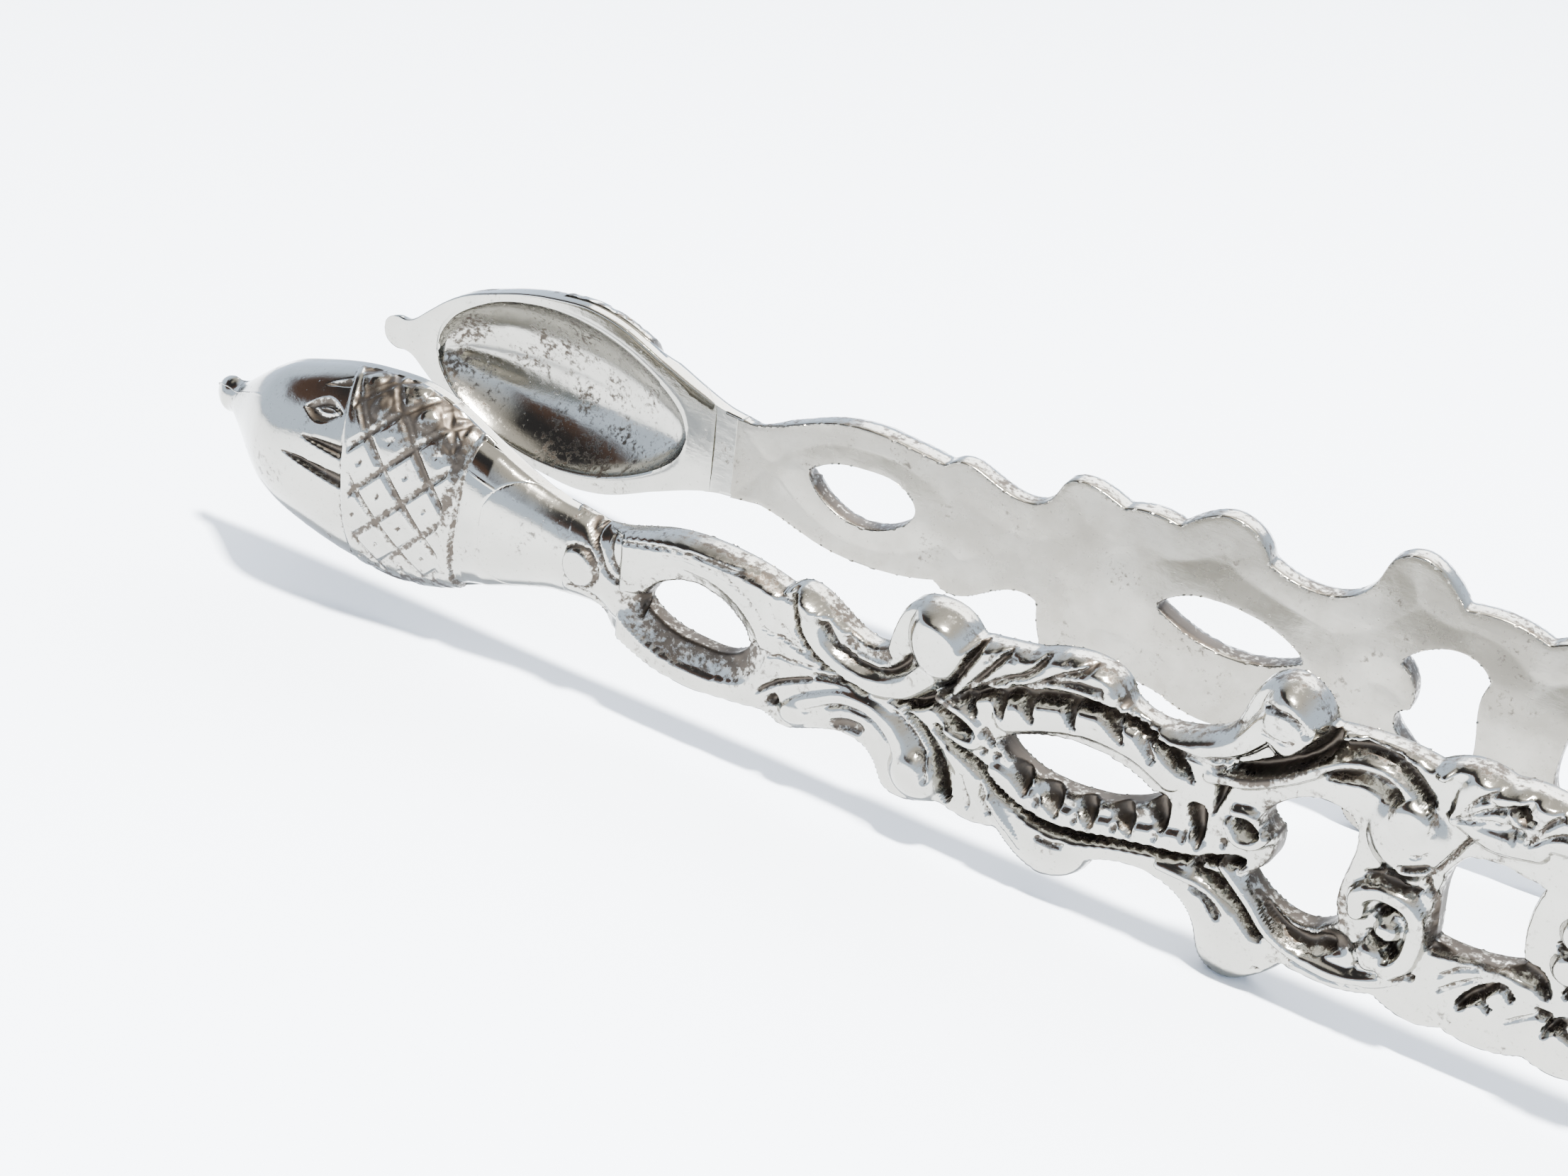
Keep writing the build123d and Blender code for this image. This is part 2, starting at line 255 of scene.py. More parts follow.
def blurred(field, radius_cells):
    """Gaussian blur with repeated edge values."""
    reach = int(3 * radius_cells)
    kernel = np.exp(-0.5 * (np.arange(-reach, reach + 1) / radius_cells) ** 2)
    kernel /= kernel.sum()
    for axis in (0, 1):
        padded = np.pad(field, [(reach, reach) if a == axis else (0, 0) for a in (0, 1)], mode="edge")
        field = sum(k * np.take(padded, np.arange(i, i + field.shape[axis]), axis=axis) for i,
                    k in enumerate(kernel))
    return field


def value_noise(s, t, size, seed):
    """Smooth random field from -1 to 1 with features of the given size."""
    table = np.random.default_rng(seed).uniform(-1, 1, (257, 257))
    x, y = s / size + 100, t / size + 100
    i, j = np.floor(x).astype(int), np.floor(y).astype(int)
    u, v = x - i, y - j
    u, v = u * u * (3 - 2 * u), v * v * (3 - 2 * v)
    a, b = table[i % 257, j % 257], table[(i + 1) % 257, j % 257]
    c, d = table[i % 257, (j + 1) % 257], table[(i + 1) % 257, (j + 1) % 257]
    return (a * (1 - u) + b * u) * (1 - v) + (c * (1 - u) + d * u) * v


# ---------------------------------------------------------------- the arm's plan, read from the CAD node

def plan_loops(node):
    """Closed boundary loops of a CAD arm's flat inner face, in the arm's frame."""
    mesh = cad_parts[node].data
    co = np.array([v.co for v in mesh.vertices], float)
    along, across, outward = to_arm(co)
    flat = np.abs(outward) < 0.004
    key = {}
    number = np.array([key.setdefault((round(a, 3), round(b, 3)), len(key)) for a, b in zip(along, across)])
    place = np.array(list(key))
    uses = {}
    for poly in mesh.polygons:
        ids = list(poly.vertices)
        if all(flat[i] for i in ids):
            ring = [number[i] for i in ids]
            for a, b in zip(ring, ring[1:] + ring[:1]):
                if a != b:
                    uses[(a, b)] = uses.get((a, b), 0) + 1
    follow = {a: b for (a, b) in uses if (b, a) not in uses}
    loops = []
    while follow:
        start, at = next(iter(follow.items()))
        ring = [start]
        del follow[start]
        while at != start and at in follow:
            ring.append(at)
            at = follow.pop(at)
        loops.append(place[ring])
    return [ring for ring in loops if len(ring) > 8]


# Half width of the flat rim, depth of the body, height of the rim's upright edge and half width of
# the hollow, at places along the acorn and its neck.
RIM = [(-0.6, 0.0), (-0.5, 0.55), (-0.1, 1.0), (0.6, 1.25), (1.3, 1.2), (2.1, 1.5), (3.1, 2.3), (4.55, 3.45),
       (5.7, 4.2), (6.9, 4.8), (8.8, 5.45), (10.6, 6.0), (12.4, 6.43), (14.2, 6.7), (15.8, 6.86),
       (17.1, 6.86), (18.9, 6.57), (20.4, 6.1), (21.8, 5.5), (22.9, 5.0), (23.9, 4.6), (25.4, 4.0),
       (26.9, 3.48), (28.3, 3.1), (29.6, 2.95), (31.0, 2.8), (32.6, 2.7), (34.0, 2.7)]
DEPTH = [(-0.6, 0.0), (-0.5, 0.5), (0.4, 1.2), (1.3, 1.35), (3.1, 2.4), (5.7, 4.2), (7.2, 4.95), (9.0, 5.3),
         (12.4, 5.2), (15.8, 4.7), (18.9, 4.0), (21.8, 3.5), (24.5, 3.1), (26.4, 2.72), (28.3, 2.4),
         (32.6, 2.2), (34.0, 2.2)]
WALL = [(-0.6, 0.0), (1.0, 0.1), (4.0, 0.5), (8.0, 0.8), (20.0, 0.9), (26.0, 0.8), (30.0, 0.4), (32.6, 0.2),
        (34.0, 0.2)]
HOLLOW = [(4.2, 0.0), (4.6, 1.4), (6.0, 3.1), (9.0, 4.8), (12.0, 5.6), (15.0, 5.8), (18.0, 5.4), (21.0, 4.4),
          (23.5, 3.0), (25.0, 1.6), (25.6, 0.0)]
HOLLOW_DEPTH = 0.62  # depth over half width


def profile(points, s):
    """A spline profile at places along the arm, zero outside it."""
    line, _ = spline(points, 0.02)
    return np.interp(s, line[:, 0], np.clip(line[:, 1], 0, None), left=0, right=0)


def body_height(s, t):
    """Outward height of the acorn's or neck's plain body at places of the plan."""
    r, d, w = profile(RIM, s), profile(DEPTH, s), profile(WALL, s)
    return w + (d - w) * np.sqrt(np.clip(1 - (t / r) ** 2, 0, 1))


def scarf_height(cut, s):
    """Outward height of a sloping cut at a place along the arm."""
    (x0, n0), (x1, n1) = cut
    return n0 + (s - x0) * (n1 - n0) / (x1 - x0)


# ---------------------------------------------------------------- the arm's relief

STEP = 0.152  # spacing of the relief's grid
ARM_START = 29.4  # the openwork mesh starts here, inside the neck's own mesh
ARM_END = 117.0  # and ends here, at the far side of the bow's sloping cut
FLAT_END = 112.9  # the plan's edge is read from the CAD up to here, just short of that cut
OPENINGS_END = 106.0  # no opening reaches beyond this
SHOULDER_START = 110.5  # the plain shoulder starts here
SHOULDER_HALF = 4.5  # half width of the shoulder
SAMPLE_GAP = 0.03  # spacing of the points along the plan's edge
FAR = 9.0  # stands for no edge nearby, or no ceiling above
FACE = 1.75  # height of the plain face between the scrolls
CARTOUCHE = (93.5, 1.5)  # middle of the cartouche
CARTOUCHE_END = 102.0  # the mirrored half stops here
ORNAMENT_SHIFT = (0.75, 0.45)  # how far carve_shifted moves its ornaments, along and across


def arm_boundary():
    """Loops of the openwork's plan, with its two ends carried on past the sloping cuts."""
    loops = plan_loops("front_arm")
    outline = max(loops, key=lambda ring: np.ptp(ring[:, 0]))
    samples = []
    for ring in loops:
        closed = np.vstack([ring, ring[:1]])
        for a, b in zip(closed, closed[1:]):
            n = max(1, int(np.linalg.norm(b - a) / SAMPLE_GAP))
            places = a + (b - a) * np.linspace(0, 1, n, endpoint=False)[:, None]
            samples.append(np.column_stack([places, np.full(n, float(ring is not outline))]))
    samples = np.vstack(samples)
    samples = samples[(samples[:, 0] > ARM_START) & (samples[:, 0] < FLAT_END)]
    end = np.arange(112.8, ARM_END, SAMPLE_GAP)
    across = np.arange(-SHOULDER_HALF, SHOULDER_HALF, SAMPLE_GAP)
    extra = [np.stack([end, np.full_like(end, v)], 1) for v in (-SHOULDER_HALF, SHOULDER_HALF)]
    extra.append(np.stack([np.full_like(across, ARM_END), across], 1))
    across = np.arange(-2.8, 2.8, SAMPLE_GAP)
    extra.append(np.stack([np.full_like(across, ARM_START), across], 1))
    extra = np.vstack(extra)
    return loops, np.vstack([samples, np.column_stack([extra, np.zeros(len(extra))])])


def inside_loops(loops, s, t):
    """Even-odd test of grid points against closed loops, a grid row at a time."""
    inside = np.zeros(s.shape, bool)
    for j in range(s.shape[1]):
        level = t[0, j] + 1e-5
        crossings = []
        for ring in loops:
            a, b = ring, np.roll(ring, -1, axis=0)
            cut = (a[:, 1] > level) != (b[:, 1] > level)
            a, b = a[cut], b[cut]
            crossings.append(a[:, 0] + (level - a[:, 1]) * (b[:, 0] - a[:, 0]) / (b[:, 1] - a[:, 1]))
        crossings = np.sort(np.concatenate(crossings))
        inside[:, j] = np.searchsorted(crossings, s[:, j]) % 2 == 1
    return inside


def distances(samples, s, t, mask):
    """Distance to, and place of, the nearest boundary sample, for the masked grid points."""
    tree = kdtree.KDTree(len(samples))
    for i, p in enumerate(samples):
        tree.insert((p[0], p[1], 0.0), i)
    tree.balance()
    d = np.full(s.shape, FAR)
    foot = np.zeros(s.shape, int)
    for i, j in np.argwhere(mask):
        _, index, gap = tree.find((s[i, j], t[i, j], 0.0))
        d[i, j] = gap
        foot[i, j] = index
    return d, foot


def rounded_edge(d, radius, wall, rise):
    """Greatest height at a distance from the edge: a wall with a rounded shoulder."""
    return wall + rise * np.sin(0.5 * math.pi * np.clip(d / radius, 0, 1))


def carve(relief, d, at_opening):
    """The ornament of one arm, from the neck's collar to the shoulder."""
    s, t = relief.s, relief.t
    plate = np.interp(s, [28, 33, 45, 60, 100, 108, 111, 120], [1.0, 1.9, FACE, FACE, FACE, 1.25, STRIP,
                                                                STRIP])
    fade = np.clip((34.8 - s) / 4.0, 0, 1)
    fade = fade * fade * (3 - 2 * fade)
    relief.height = (1 - fade) * plate + fade * body_height(s, t)
    carve_shifted(relief, (collar, hook_scroll, lower_scroll, upper_leaf, upper_lobe))
    for ornament in (lower_lobes, beaded_frame, arch, column, leaves):
        ornament(relief)
    carve_shifted(relief, (medallion, mirrored_end))
    loop(relief, np.where(at_opening, d, FAR))
    cap = np.where(at_opening, rounded_edge(d, 0.55, 1.2, 1.6), rounded_edge(d, 0.75, 1.15, 1.7))
    shoulder = s > SHOULDER_START
    relief.height = np.where(shoulder, np.minimum(relief.height, rounded_edge(d, 0.25, STRIP - 0.2, 0.2)),
                             smooth_min(relief.height, cap, 0.1))
    relief.dark = np.maximum(relief.dark, 0.45 * np.clip(1 - d / 0.9, 0, 1) * at_opening * (s < OPENINGS_END))
    relief.height = smooth_min(relief.height, box_height(s), 0.06)


def box_height(s):
    """Outward height at which the front arm, leaning out towards the bow, reaches the side of the CAD box."""
    outside = -cad_box[0].y / MM - 0.1
    return (outside - TIP_HALF_GAP - s * math.sin(SPLAY)) / math.cos(SPLAY)


def carve_shifted(relief, ornaments):
    """Carves ornaments whose places are given before ORNAMENT_SHIFT."""
    s, t = relief.s, relief.t
    relief.low = relief.low - ORNAMENT_SHIFT
    relief.s, relief.t = s - ORNAMENT_SHIFT[0], t - ORNAMENT_SHIFT[1]
    for ornament in ornaments:
        ornament(relief)
    relief.low = relief.low + ORNAMENT_SHIFT
    relief.s, relief.t = s, t


def collar(relief):
    """Engraved ring across the neck, with two crescents after it."""
    relief.dome((30.2, -0.35), 1.35, 1.35, 0, 2.42, base=1.9, flat=6)
    ring = [(30.2 + 1.3 * math.cos(a), -0.35 + 1.3 * math.sin(a)) for a in np.linspace(0.2, 2 * math.pi, 13)]
    relief.groove(ring, 0.17, 0.3, blunt=True)
    relief.groove([(30.9, 2.7), (30.9, 1.7), (31.5, 0.9), (32.1, 0.0), (33.2, -0.6)], 0.2, 0.35)
    relief.groove([(32.1, 2.5), (32.3, 1.2), (33.1, 0.2), (34.2, -0.1)], 0.16, 0.3)
    relief.groove([(30.6, 2.9), (30.2, 2.3), (30.9, 1.6)], 0.25, 0.3)
    relief.groove([(29.3, -2.0), (30.2, -1.9), (31.4, -2.2), (32.2, -3.0)], 0.15, 0.25, dark=0.8)


def loop(relief, to_opening):
    """Ring round the first opening: a smooth rim, with a face that dips to the opening."""
    s, t = relief.s, relief.t
    here = np.clip((s - 32.8) / 1.2, 0, 1) * np.clip((47.0 - s) / 2.0, 0, 1)
    relief.height = np.maximum(relief.height, here * 2.15)
    low = t < -0.3
    reach = np.where(low, 1.7, 1.15)
    dip = np.clip(1 - to_opening / reach, 0, 1) * (s < 46)
    relief.height -= np.where(low, 0.95, 0.55) * dip ** 0.8 * here
    relief.dark = np.maximum(relief.dark, np.where(low, 0.85, 0.5) * np.clip(dip * 1.5, 0, 1) * here)
    relief.groove([(33.1, 2.7), (35.8, 3.35), (38.2, 3.8), (40.4, 4.0), (42.7, 3.95), (44.6, 3.7),
                   (46.0, 3.3)], 0.15, 0.35, dark=0.9)
    relief.groove([(36.6, 3.1), (39.0, 3.55), (41.6, 3.3), (43.4, 2.4), (44.6, 1.2)], 0.13, 0.12, dark=0.45)
    relief.pit((35.3, -0.95), 0.32, 0.95, 8, 0.9, dark=1.2)
    relief.groove([(44.2, 1.3), (45.5, 0.9), (47.0, 0.45), (48.6, 0.2)], 0.13, 0.25, dark=0.8)
    relief.groove([(43.6, -0.1), (45.2, -0.4), (46.8, -0.35), (48.4, -0.15)], 0.12, 0.25, dark=0.8)
    relief.groove([(44.6, 2.9), (45.2, 1.9), (46.2, 1.1), (47.4, 0.6)], 0.1, 0.18, dark=0.6)
    relief.groove([(48.0, -0.75), (49.2, -0.5), (50.6, -0.2)], 0.26, 0.5, blunt=True)
    relief.groove([(44.3, -3.2), (45.1, -2.4), (46.4, -1.7), (47.9, -1.0)], 0.2, 0.35, dark=0.9)
    relief.pit((45.3, -3.4), 0.4, 0.45, 0, 0.45, dark=0.9)


def hook_scroll(relief):
    """C-scroll that rises from a small hook, dips under the notch and ends in a ball."""
    relief.ridge([(46.5, 3.0), (46.6, 2.0), (47.4, 0.9), (49.2, 0.1), (51.2, -0.05), (53.0, 0.5), (54.4, 1.9),
                  (55.2, 3.6)], [0.8, 0.75, 0.8, 0.85, 1.1], [2.3, 2.2, 2.2, 2.3, 2.5], base=1.1)
    relief.dome((46.7, 3.3), 1.25, 1.3, 0, 2.5, base=1.2)
    relief.dome((55.2, 4.3), 2.35, 2.6, 8, 3.0, base=1.4, flat=1.6)
    relief.groove([(47.0, 2.9), (47.6, 2.3), (48.4, 1.3), (50.2, 0.75), (51.8, 0.95), (52.9, 1.9),
                   (53.2, 2.7)], 0.28, 0.55, dark=0.8)
    relief.groove([(48.8, 2.0), (50.3, 1.65), (51.9, 1.9)], 0.75, 0.35, dark=0.7)
    relief.groove([(45.2, 3.7), (45.6, 2.4), (46.0, 1.2), (47.2, 0.1), (49.0, -0.55), (51.0, -0.75)],
                  [0.3, 0.42, 0.4, 0.25], 0.95)
    relief.groove([(57.7, 5.9), (57.3, 4.6), (56.7, 2.9), (55.6, 1.1), (54.0, -0.3), (52.2, -0.7)],
                  [0.35, 0.42, 0.42, 0.3], 1.15)


def lower_scroll(relief):
    """The matching scroll below the centre line, from a small knob to a rounded lobe."""
    relief.dome((46.2, -4.1), 1.35, 0.95, 15, 2.25, base=1.1)
    relief.ridge([(46.1, -3.6), (47.4, -2.7), (49.4, -1.75), (51.4, -1.75), (53.1, -2.8), (54.2, -4.4)],
                 [0.55, 0.5, 0.55, 0.7, 1.0], [2.1, 2.1, 2.1, 2.2, 2.5], base=1.1)
    relief.dome((54.5, -4.7), 1.9, 1.75, -15, 2.7, base=1.2)
    relief.ridge([(47.6, -4.2), (48.9, -3.1), (50.6, -2.7), (51.9, -3.3), (52.3, -4.4)], 0.32, 1.75, base=1.0)
    relief.groove([(48.6, -4.0), (49.6, -3.5), (50.8, -3.4)], 0.5, 0.3, dark=0.8)
    relief.groove([(48.0, -2.9), (49.6, -2.25), (51.4, -2.35), (52.7, -3.4)], 0.17, 0.35, dark=0.7)
    relief.groove([(52.6, -1.3), (54.0, -2.2), (55.1, -3.5), (55.6, -4.7)], 0.2, 0.4, dark=0.8)
    relief.groove([(53.0, -0.95), (54.7, -1.8), (56.0, -3.4), (56.8, -5.6)], [0.25, 0.42, 0.45], 1.1)


def upper_leaf(relief):
    """Acanthus leaf that fans out above the beaded frame."""
    relief.ridge([(55.6, 0.4), (58.0, 2.6), (60.6, 4.2), (63.2, 5.0), (66.2, 4.9), (69.0, 4.3), (72.0, 3.6)],
                 [0.35, 0.5, 0.6, 0.6, 0.45], 2.2, base=1.2)
    blades = [
        [(56.4, 1.7), (57.6, 3.6), (58.4, 5.0)],
        [(57.2, 2.4), (59.0, 4.2), (60.6, 5.4)],
        [(59.4, 3.7), (61.6, 5.0), (63.2, 6.1)],
        [(61.6, 4.6), (64.0, 5.6), (66.0, 5.9)],
    ]
    for blade in blades:
        relief.ridge(blade, [0.35, 0.6, 0.75], [1.9, 2.2, 2.1], base=1.2)
    veins = [
        [(56.6, 1.4), (58.1, 3.6), (59.3, 5.3)],
        [(57.4, 2.2), (59.3, 3.7), (60.6, 4.5), (61.6, 5.8)],
        [(59.6, 3.4), (60.9, 3.9), (62.4, 5.1), (64.4, 6.3)],
        [(61.8, 4.4), (63.4, 5.1), (65.2, 5.3)],
    ]
    for vein in veins:
        relief.groove(vein, 0.24, 0.55, dark=0.9)
    relief.groove([(58.0, 4.3), (58.6, 4.9), (59.9, 5.1)], 0.15, 0.3, dark=0.6)
    relief.groove([(62.6, 5.9), (64.2, 6.35), (65.6, 6.0)], 0.16, 0.3, dark=0.6)
    relief.pit((66.5, 5.1), 0.75, 0.4, 35, 0.7)
    relief.pit((65.0, 4.95), 0.35, 0.25, 0, 0.4)


UPPER_NOTCHES = [  # wide end, tip, half width and darkness
    ((58.0, 1.8), (58.5, 0.8), 0.36, 1.0),
    ((59.7, 2.7), (60.3, 1.7), 0.55, 1.0),
    ((61.4, 3.2), (62.1, 2.2), 0.5, 1.0),
    ((64.0, 4.1), (64.6, 2.7), 0.5, 1.0),
    ((66.5, 4.3), (67.5, 3.1), 0.58, 0.6),
    ((70.4, 3.6), (71.8, 2.4), 0.55, 1.0),
    ((73.5, 3.4), (73.2, 1.1), 0.5, 1.0),
]
LOWER_NOTCHES = [  # wide end at the opening, tip and half width
    ((61.8, -0.9), (62.3, -2.4), 0.8),
    ((63.6, -1.2), (64.4, -2.9), 0.95),
    ((65.9, -1.1), (66.5, -2.8), 0.85),
    ((68.0, -0.7), (68.9, -2.1), 0.9),
    ((70.1, 0.3), (70.6, -1.2), 0.75),
    ((72.3, 0.7), (72.8, -1.1), 0.68),
]


def beaded_frame(relief):
    """Almond-shaped frame round the oval opening: notched bands, two eyelets, outer groove."""
    outer_top = [(55.9, 0.5), (57.8, 2.0), (59.5, 2.95), (62.0, 3.7), (64.2, 4.35), (66.4, 4.65), (68.2, 4.4),
                 (69.8, 3.9)]
    outer_bottom = [(56.2, -0.8), (57.8, -1.5), (59.4, -2.2), (61.4, -3.3), (63.6, -3.8), (65.6, -3.7),
                    (67.8, -3.15), (70.1, -2.65), (72.4, -2.15), (75.2, -1.1)]
    relief.ridge([(60.4, 1.7), (62.8, 2.7), (65.4, 3.3), (68.2, 3.1), (70.4, 2.2)], 0.9, 2.1, base=1.4,
                 sharp=4)
    relief.ridge([(60.4, -2.1), (63.0, -2.9), (66.0, -2.9), (69.2, -2.1), (72.6, -1.3)], 0.8, 2.1, base=1.4,
                 sharp=4)
    relief.groove(outer_top, [0.3, 0.42, 0.48, 0.45, 0.4], 1.25, blunt=True)
    relief.groove([(69.6, 4.0), (71.4, 3.9), (73.4, 4.0)], 0.22, 0.5, dark=0.8)
    relief.groove(outer_bottom, [0.28, 0.42, 0.46, 0.42, 0.36], 1.25, blunt=True)
    for top, tip, width, dark in UPPER_NOTCHES:
        relief.groove([top, tip], [width, 0.7 * width, 0.1], [1.1, 0.9, 0.5], dark=dark, blunt=True)
    for top, tip, width in LOWER_NOTCHES:
        relief.groove([top, tip], [width, 0.75 * width, 0.15], [1.0, 0.9, 0.6], blunt=True)
    for centre in ((63.1, -2.5), (65.5, -2.6), (67.9, -2.1), (70.3, -1.6), (71.9, -0.9), (74.1, -0.4)):
        relief.pit(centre, 0.26, 0.42, 10, 0.35, dark=0.75)
    for centre in ((59.7, 1.2), (65.7, 3.3)):
        relief.pit(centre, 0.3, 0.2, 40, 0.15, dark=0.5)
    relief.groove([(68.3, 4.0), (69.0, 3.3), (69.4, 2.7)], 0.3, 0.5, dark=0.8)
    relief.ridge([(56.2, 1.3), (58.0, 0.8), (59.0, 0.0), (58.6, -0.8), (57.0, -0.6)], 0.35, 2.1, base=1.5)
    relief.groove([(55.9, 0.6), (57.1, 0.1), (58.3, -0.3)], [0.3, 0.5, 0.35], 1.1)
    relief.groove([(59.0, 0.4), (59.9, -0.4)], 0.3, 0.45, dark=0.8)
    for centre in ((60.2, -0.9), (59.3, -1.0), (60.7, 0.3)):
        relief.pit(centre, 0.35, 0.25, 30, 0.4, dark=0.9)
    relief.ridge([(74.4, 1.9), (75.3, 2.05), (76.1, 1.6), (76.3, 0.9), (75.7, 0.3), (74.8, 0.25),
                  (74.2, 1.0)], 0.33, 2.3, base=1.5)
    relief.pit((75.15, 1.1), 0.8, 0.5, -15, 1.0)


def upper_lobe(relief):
    """Scroll along the upper edge that ends in the tallest lobe, with a knob curled under it."""
    relief.ridge([(67.3, 4.7), (69.2, 4.15), (71.4, 4.35), (73.2, 5.4), (74.4, 7.0), (75.2, 8.0)],
                 [0.45, 0.5, 0.55, 0.8, 1.1], [2.1, 2.15, 2.2, 2.4, 2.6], base=1.1)
    relief.dome((75.9, 7.9), 2.15, 2.55, 0, 3.0, base=1.3, flat=1.6)
    relief.groove([(68.0, 5.3), (69.8, 4.95), (71.6, 5.5), (73.0, 6.6)], 0.3, 0.3, dark=0.5)
    relief.groove([(74.2, 8.4), (75.2, 8.65), (76.3, 8.35), (76.9, 7.7)], 0.2, 0.45, dark=0.6)
    relief.dome((75.4, 7.6), 0.9, 0.5, -10, 3.2, base=2.6)
    relief.groove([(74.3, 7.05), (75.4, 6.95), (76.3, 7.2)], 0.16, 0.3, dark=0.6)
    relief.groove([(72.6, 3.2), (74.4, 3.7), (76.2, 5.0), (77.6, 6.7), (78.4, 8.3)], [0.3, 0.42, 0.45, 0.35],
                  1.2)
    relief.groove([(69.6, 3.75), (71.6, 3.85), (73.2, 4.3)], 0.16, 0.35, dark=0.7)


def lower_lobes(relief):
    """Leaf and lobes along the lower edge."""
    relief.ridge([(57.3, -2.0), (59.1, -3.4), (61.1, -4.7)], [0.5, 0.9, 0.9], 1.9, base=1.1)
    relief.groove([(59.5, -3.0), (59.7, -3.7), (60.3, -4.9)], [0.15, 0.35, 0.3], 0.5, dark=0.7)
    relief.groove([(58.1, -2.9), (58.6, -4.0), (58.9, -5.1)], 0.16, 0.3, dark=0.5)
    relief.dome((64.2, -5.1), 3.3, 1.8, 5, 2.15, base=1.5, flat=1.2)
    relief.ridge([(60.2, -3.7), (61.3, -4.7), (62.6, -5.7)], 0.25, 2.15, base=1.6)
    relief.groove([(63.4, -4.7), (64.4, -4.75), (65.2, -4.6)], 0.2, 0.3, dark=0.6)
    relief.dome((75.8, -6.0), 2.9, 2.6, 20, 2.35, base=1.5, flat=1.2)
    relief.ridge([(70.8, -3.3), (72.4, -3.3), (74.0, -3.6), (75.3, -4.4)], 0.3, 2.1, base=1.5)
    relief.groove([(72.7, -3.8), (73.9, -4.1), (74.9, -4.8)], 0.3, 0.35, dark=0.8)
    relief.groove([(72.4, -2.5), (74.2, -2.85), (75.8, -3.6), (77.3, -5.0)], [0.25, 0.48, 0.5, 0.4], 1.1)
    relief.pit((77.4, -6.8), 0.22, 0.12, 0, 0.4)


def arch(relief):
    """The two scroll bands that pass above and below the third opening."""
    relief.ridge([(72.6, 3.2), (74.9, 3.9), (77.1, 5.2), (78.9, 6.6), (80.3, 7.4), (81.7, 7.7), (82.7, 7.3),
                  (83.4, 6.6), (83.8, 5.9)], 0.45, [2.0, 2.2, 2.3, 2.3, 2.2], base=1.1)
    relief.ridge([(79.0, 8.8), (80.8, 9.1), (82.9, 9.0), (84.6, 8.8)], 0.5, 2.4, base=1.1)
    relief.groove([(73.6, 4.1), (75.1, 4.75), (76.4, 5.6), (77.4, 6.6), (78.3, 7.9), (79.0, 8.9)],
                  [0.3, 0.5, 0.5, 0.45], 1.2)
    relief.groove([(78.6, 7.6), (80.7, 8.35), (82.3, 8.1), (83.7, 7.3), (84.4, 6.6)], [0.4, 0.5, 0.5, 0.3],
                  0.8, dark=0.85)
    relief.groove([(78.6, 6.0), (80.4, 6.7), (81.7, 6.7), (82.6, 6.1), (82.7, 5.3)],
                  [0.3, 0.55, 0.7, 0.7, 0.4], 0.8, dark=0.7)
    relief.ridge([(74.4, -1.7), (75.9, -2.9), (77.7, -4.4), (79.7, -5.1), (81.8, -5.2), (83.6, -4.7),
                  (84.8, -3.9)], [0.35, 0.45, 0.5, 0.45], [2.0, 2.3, 2.3, 2.3], base=1.1)
    relief.groove([(76.9, -3.0), (78.2, -3.9), (79.6, -4.2), (81.2, -3.9)], [0.3, 0.5, 0.7, 0.5], 0.8,
                  dark=0.75)
    relief.pit((81.0, -3.5), 1.2, 0.85, 10, 0.6, dark=1.2)
    relief.ridge([(75.6, -1.5), (77.0, -2.6), (78.4, -3.2), (80.0, -3.2)], 0.25, 2.15, base=1.2)
    relief.groove([(79.0, -5.6), (81.4, -5.75), (83.4, -5.2)], 0.25, 0.2, dark=0.4)


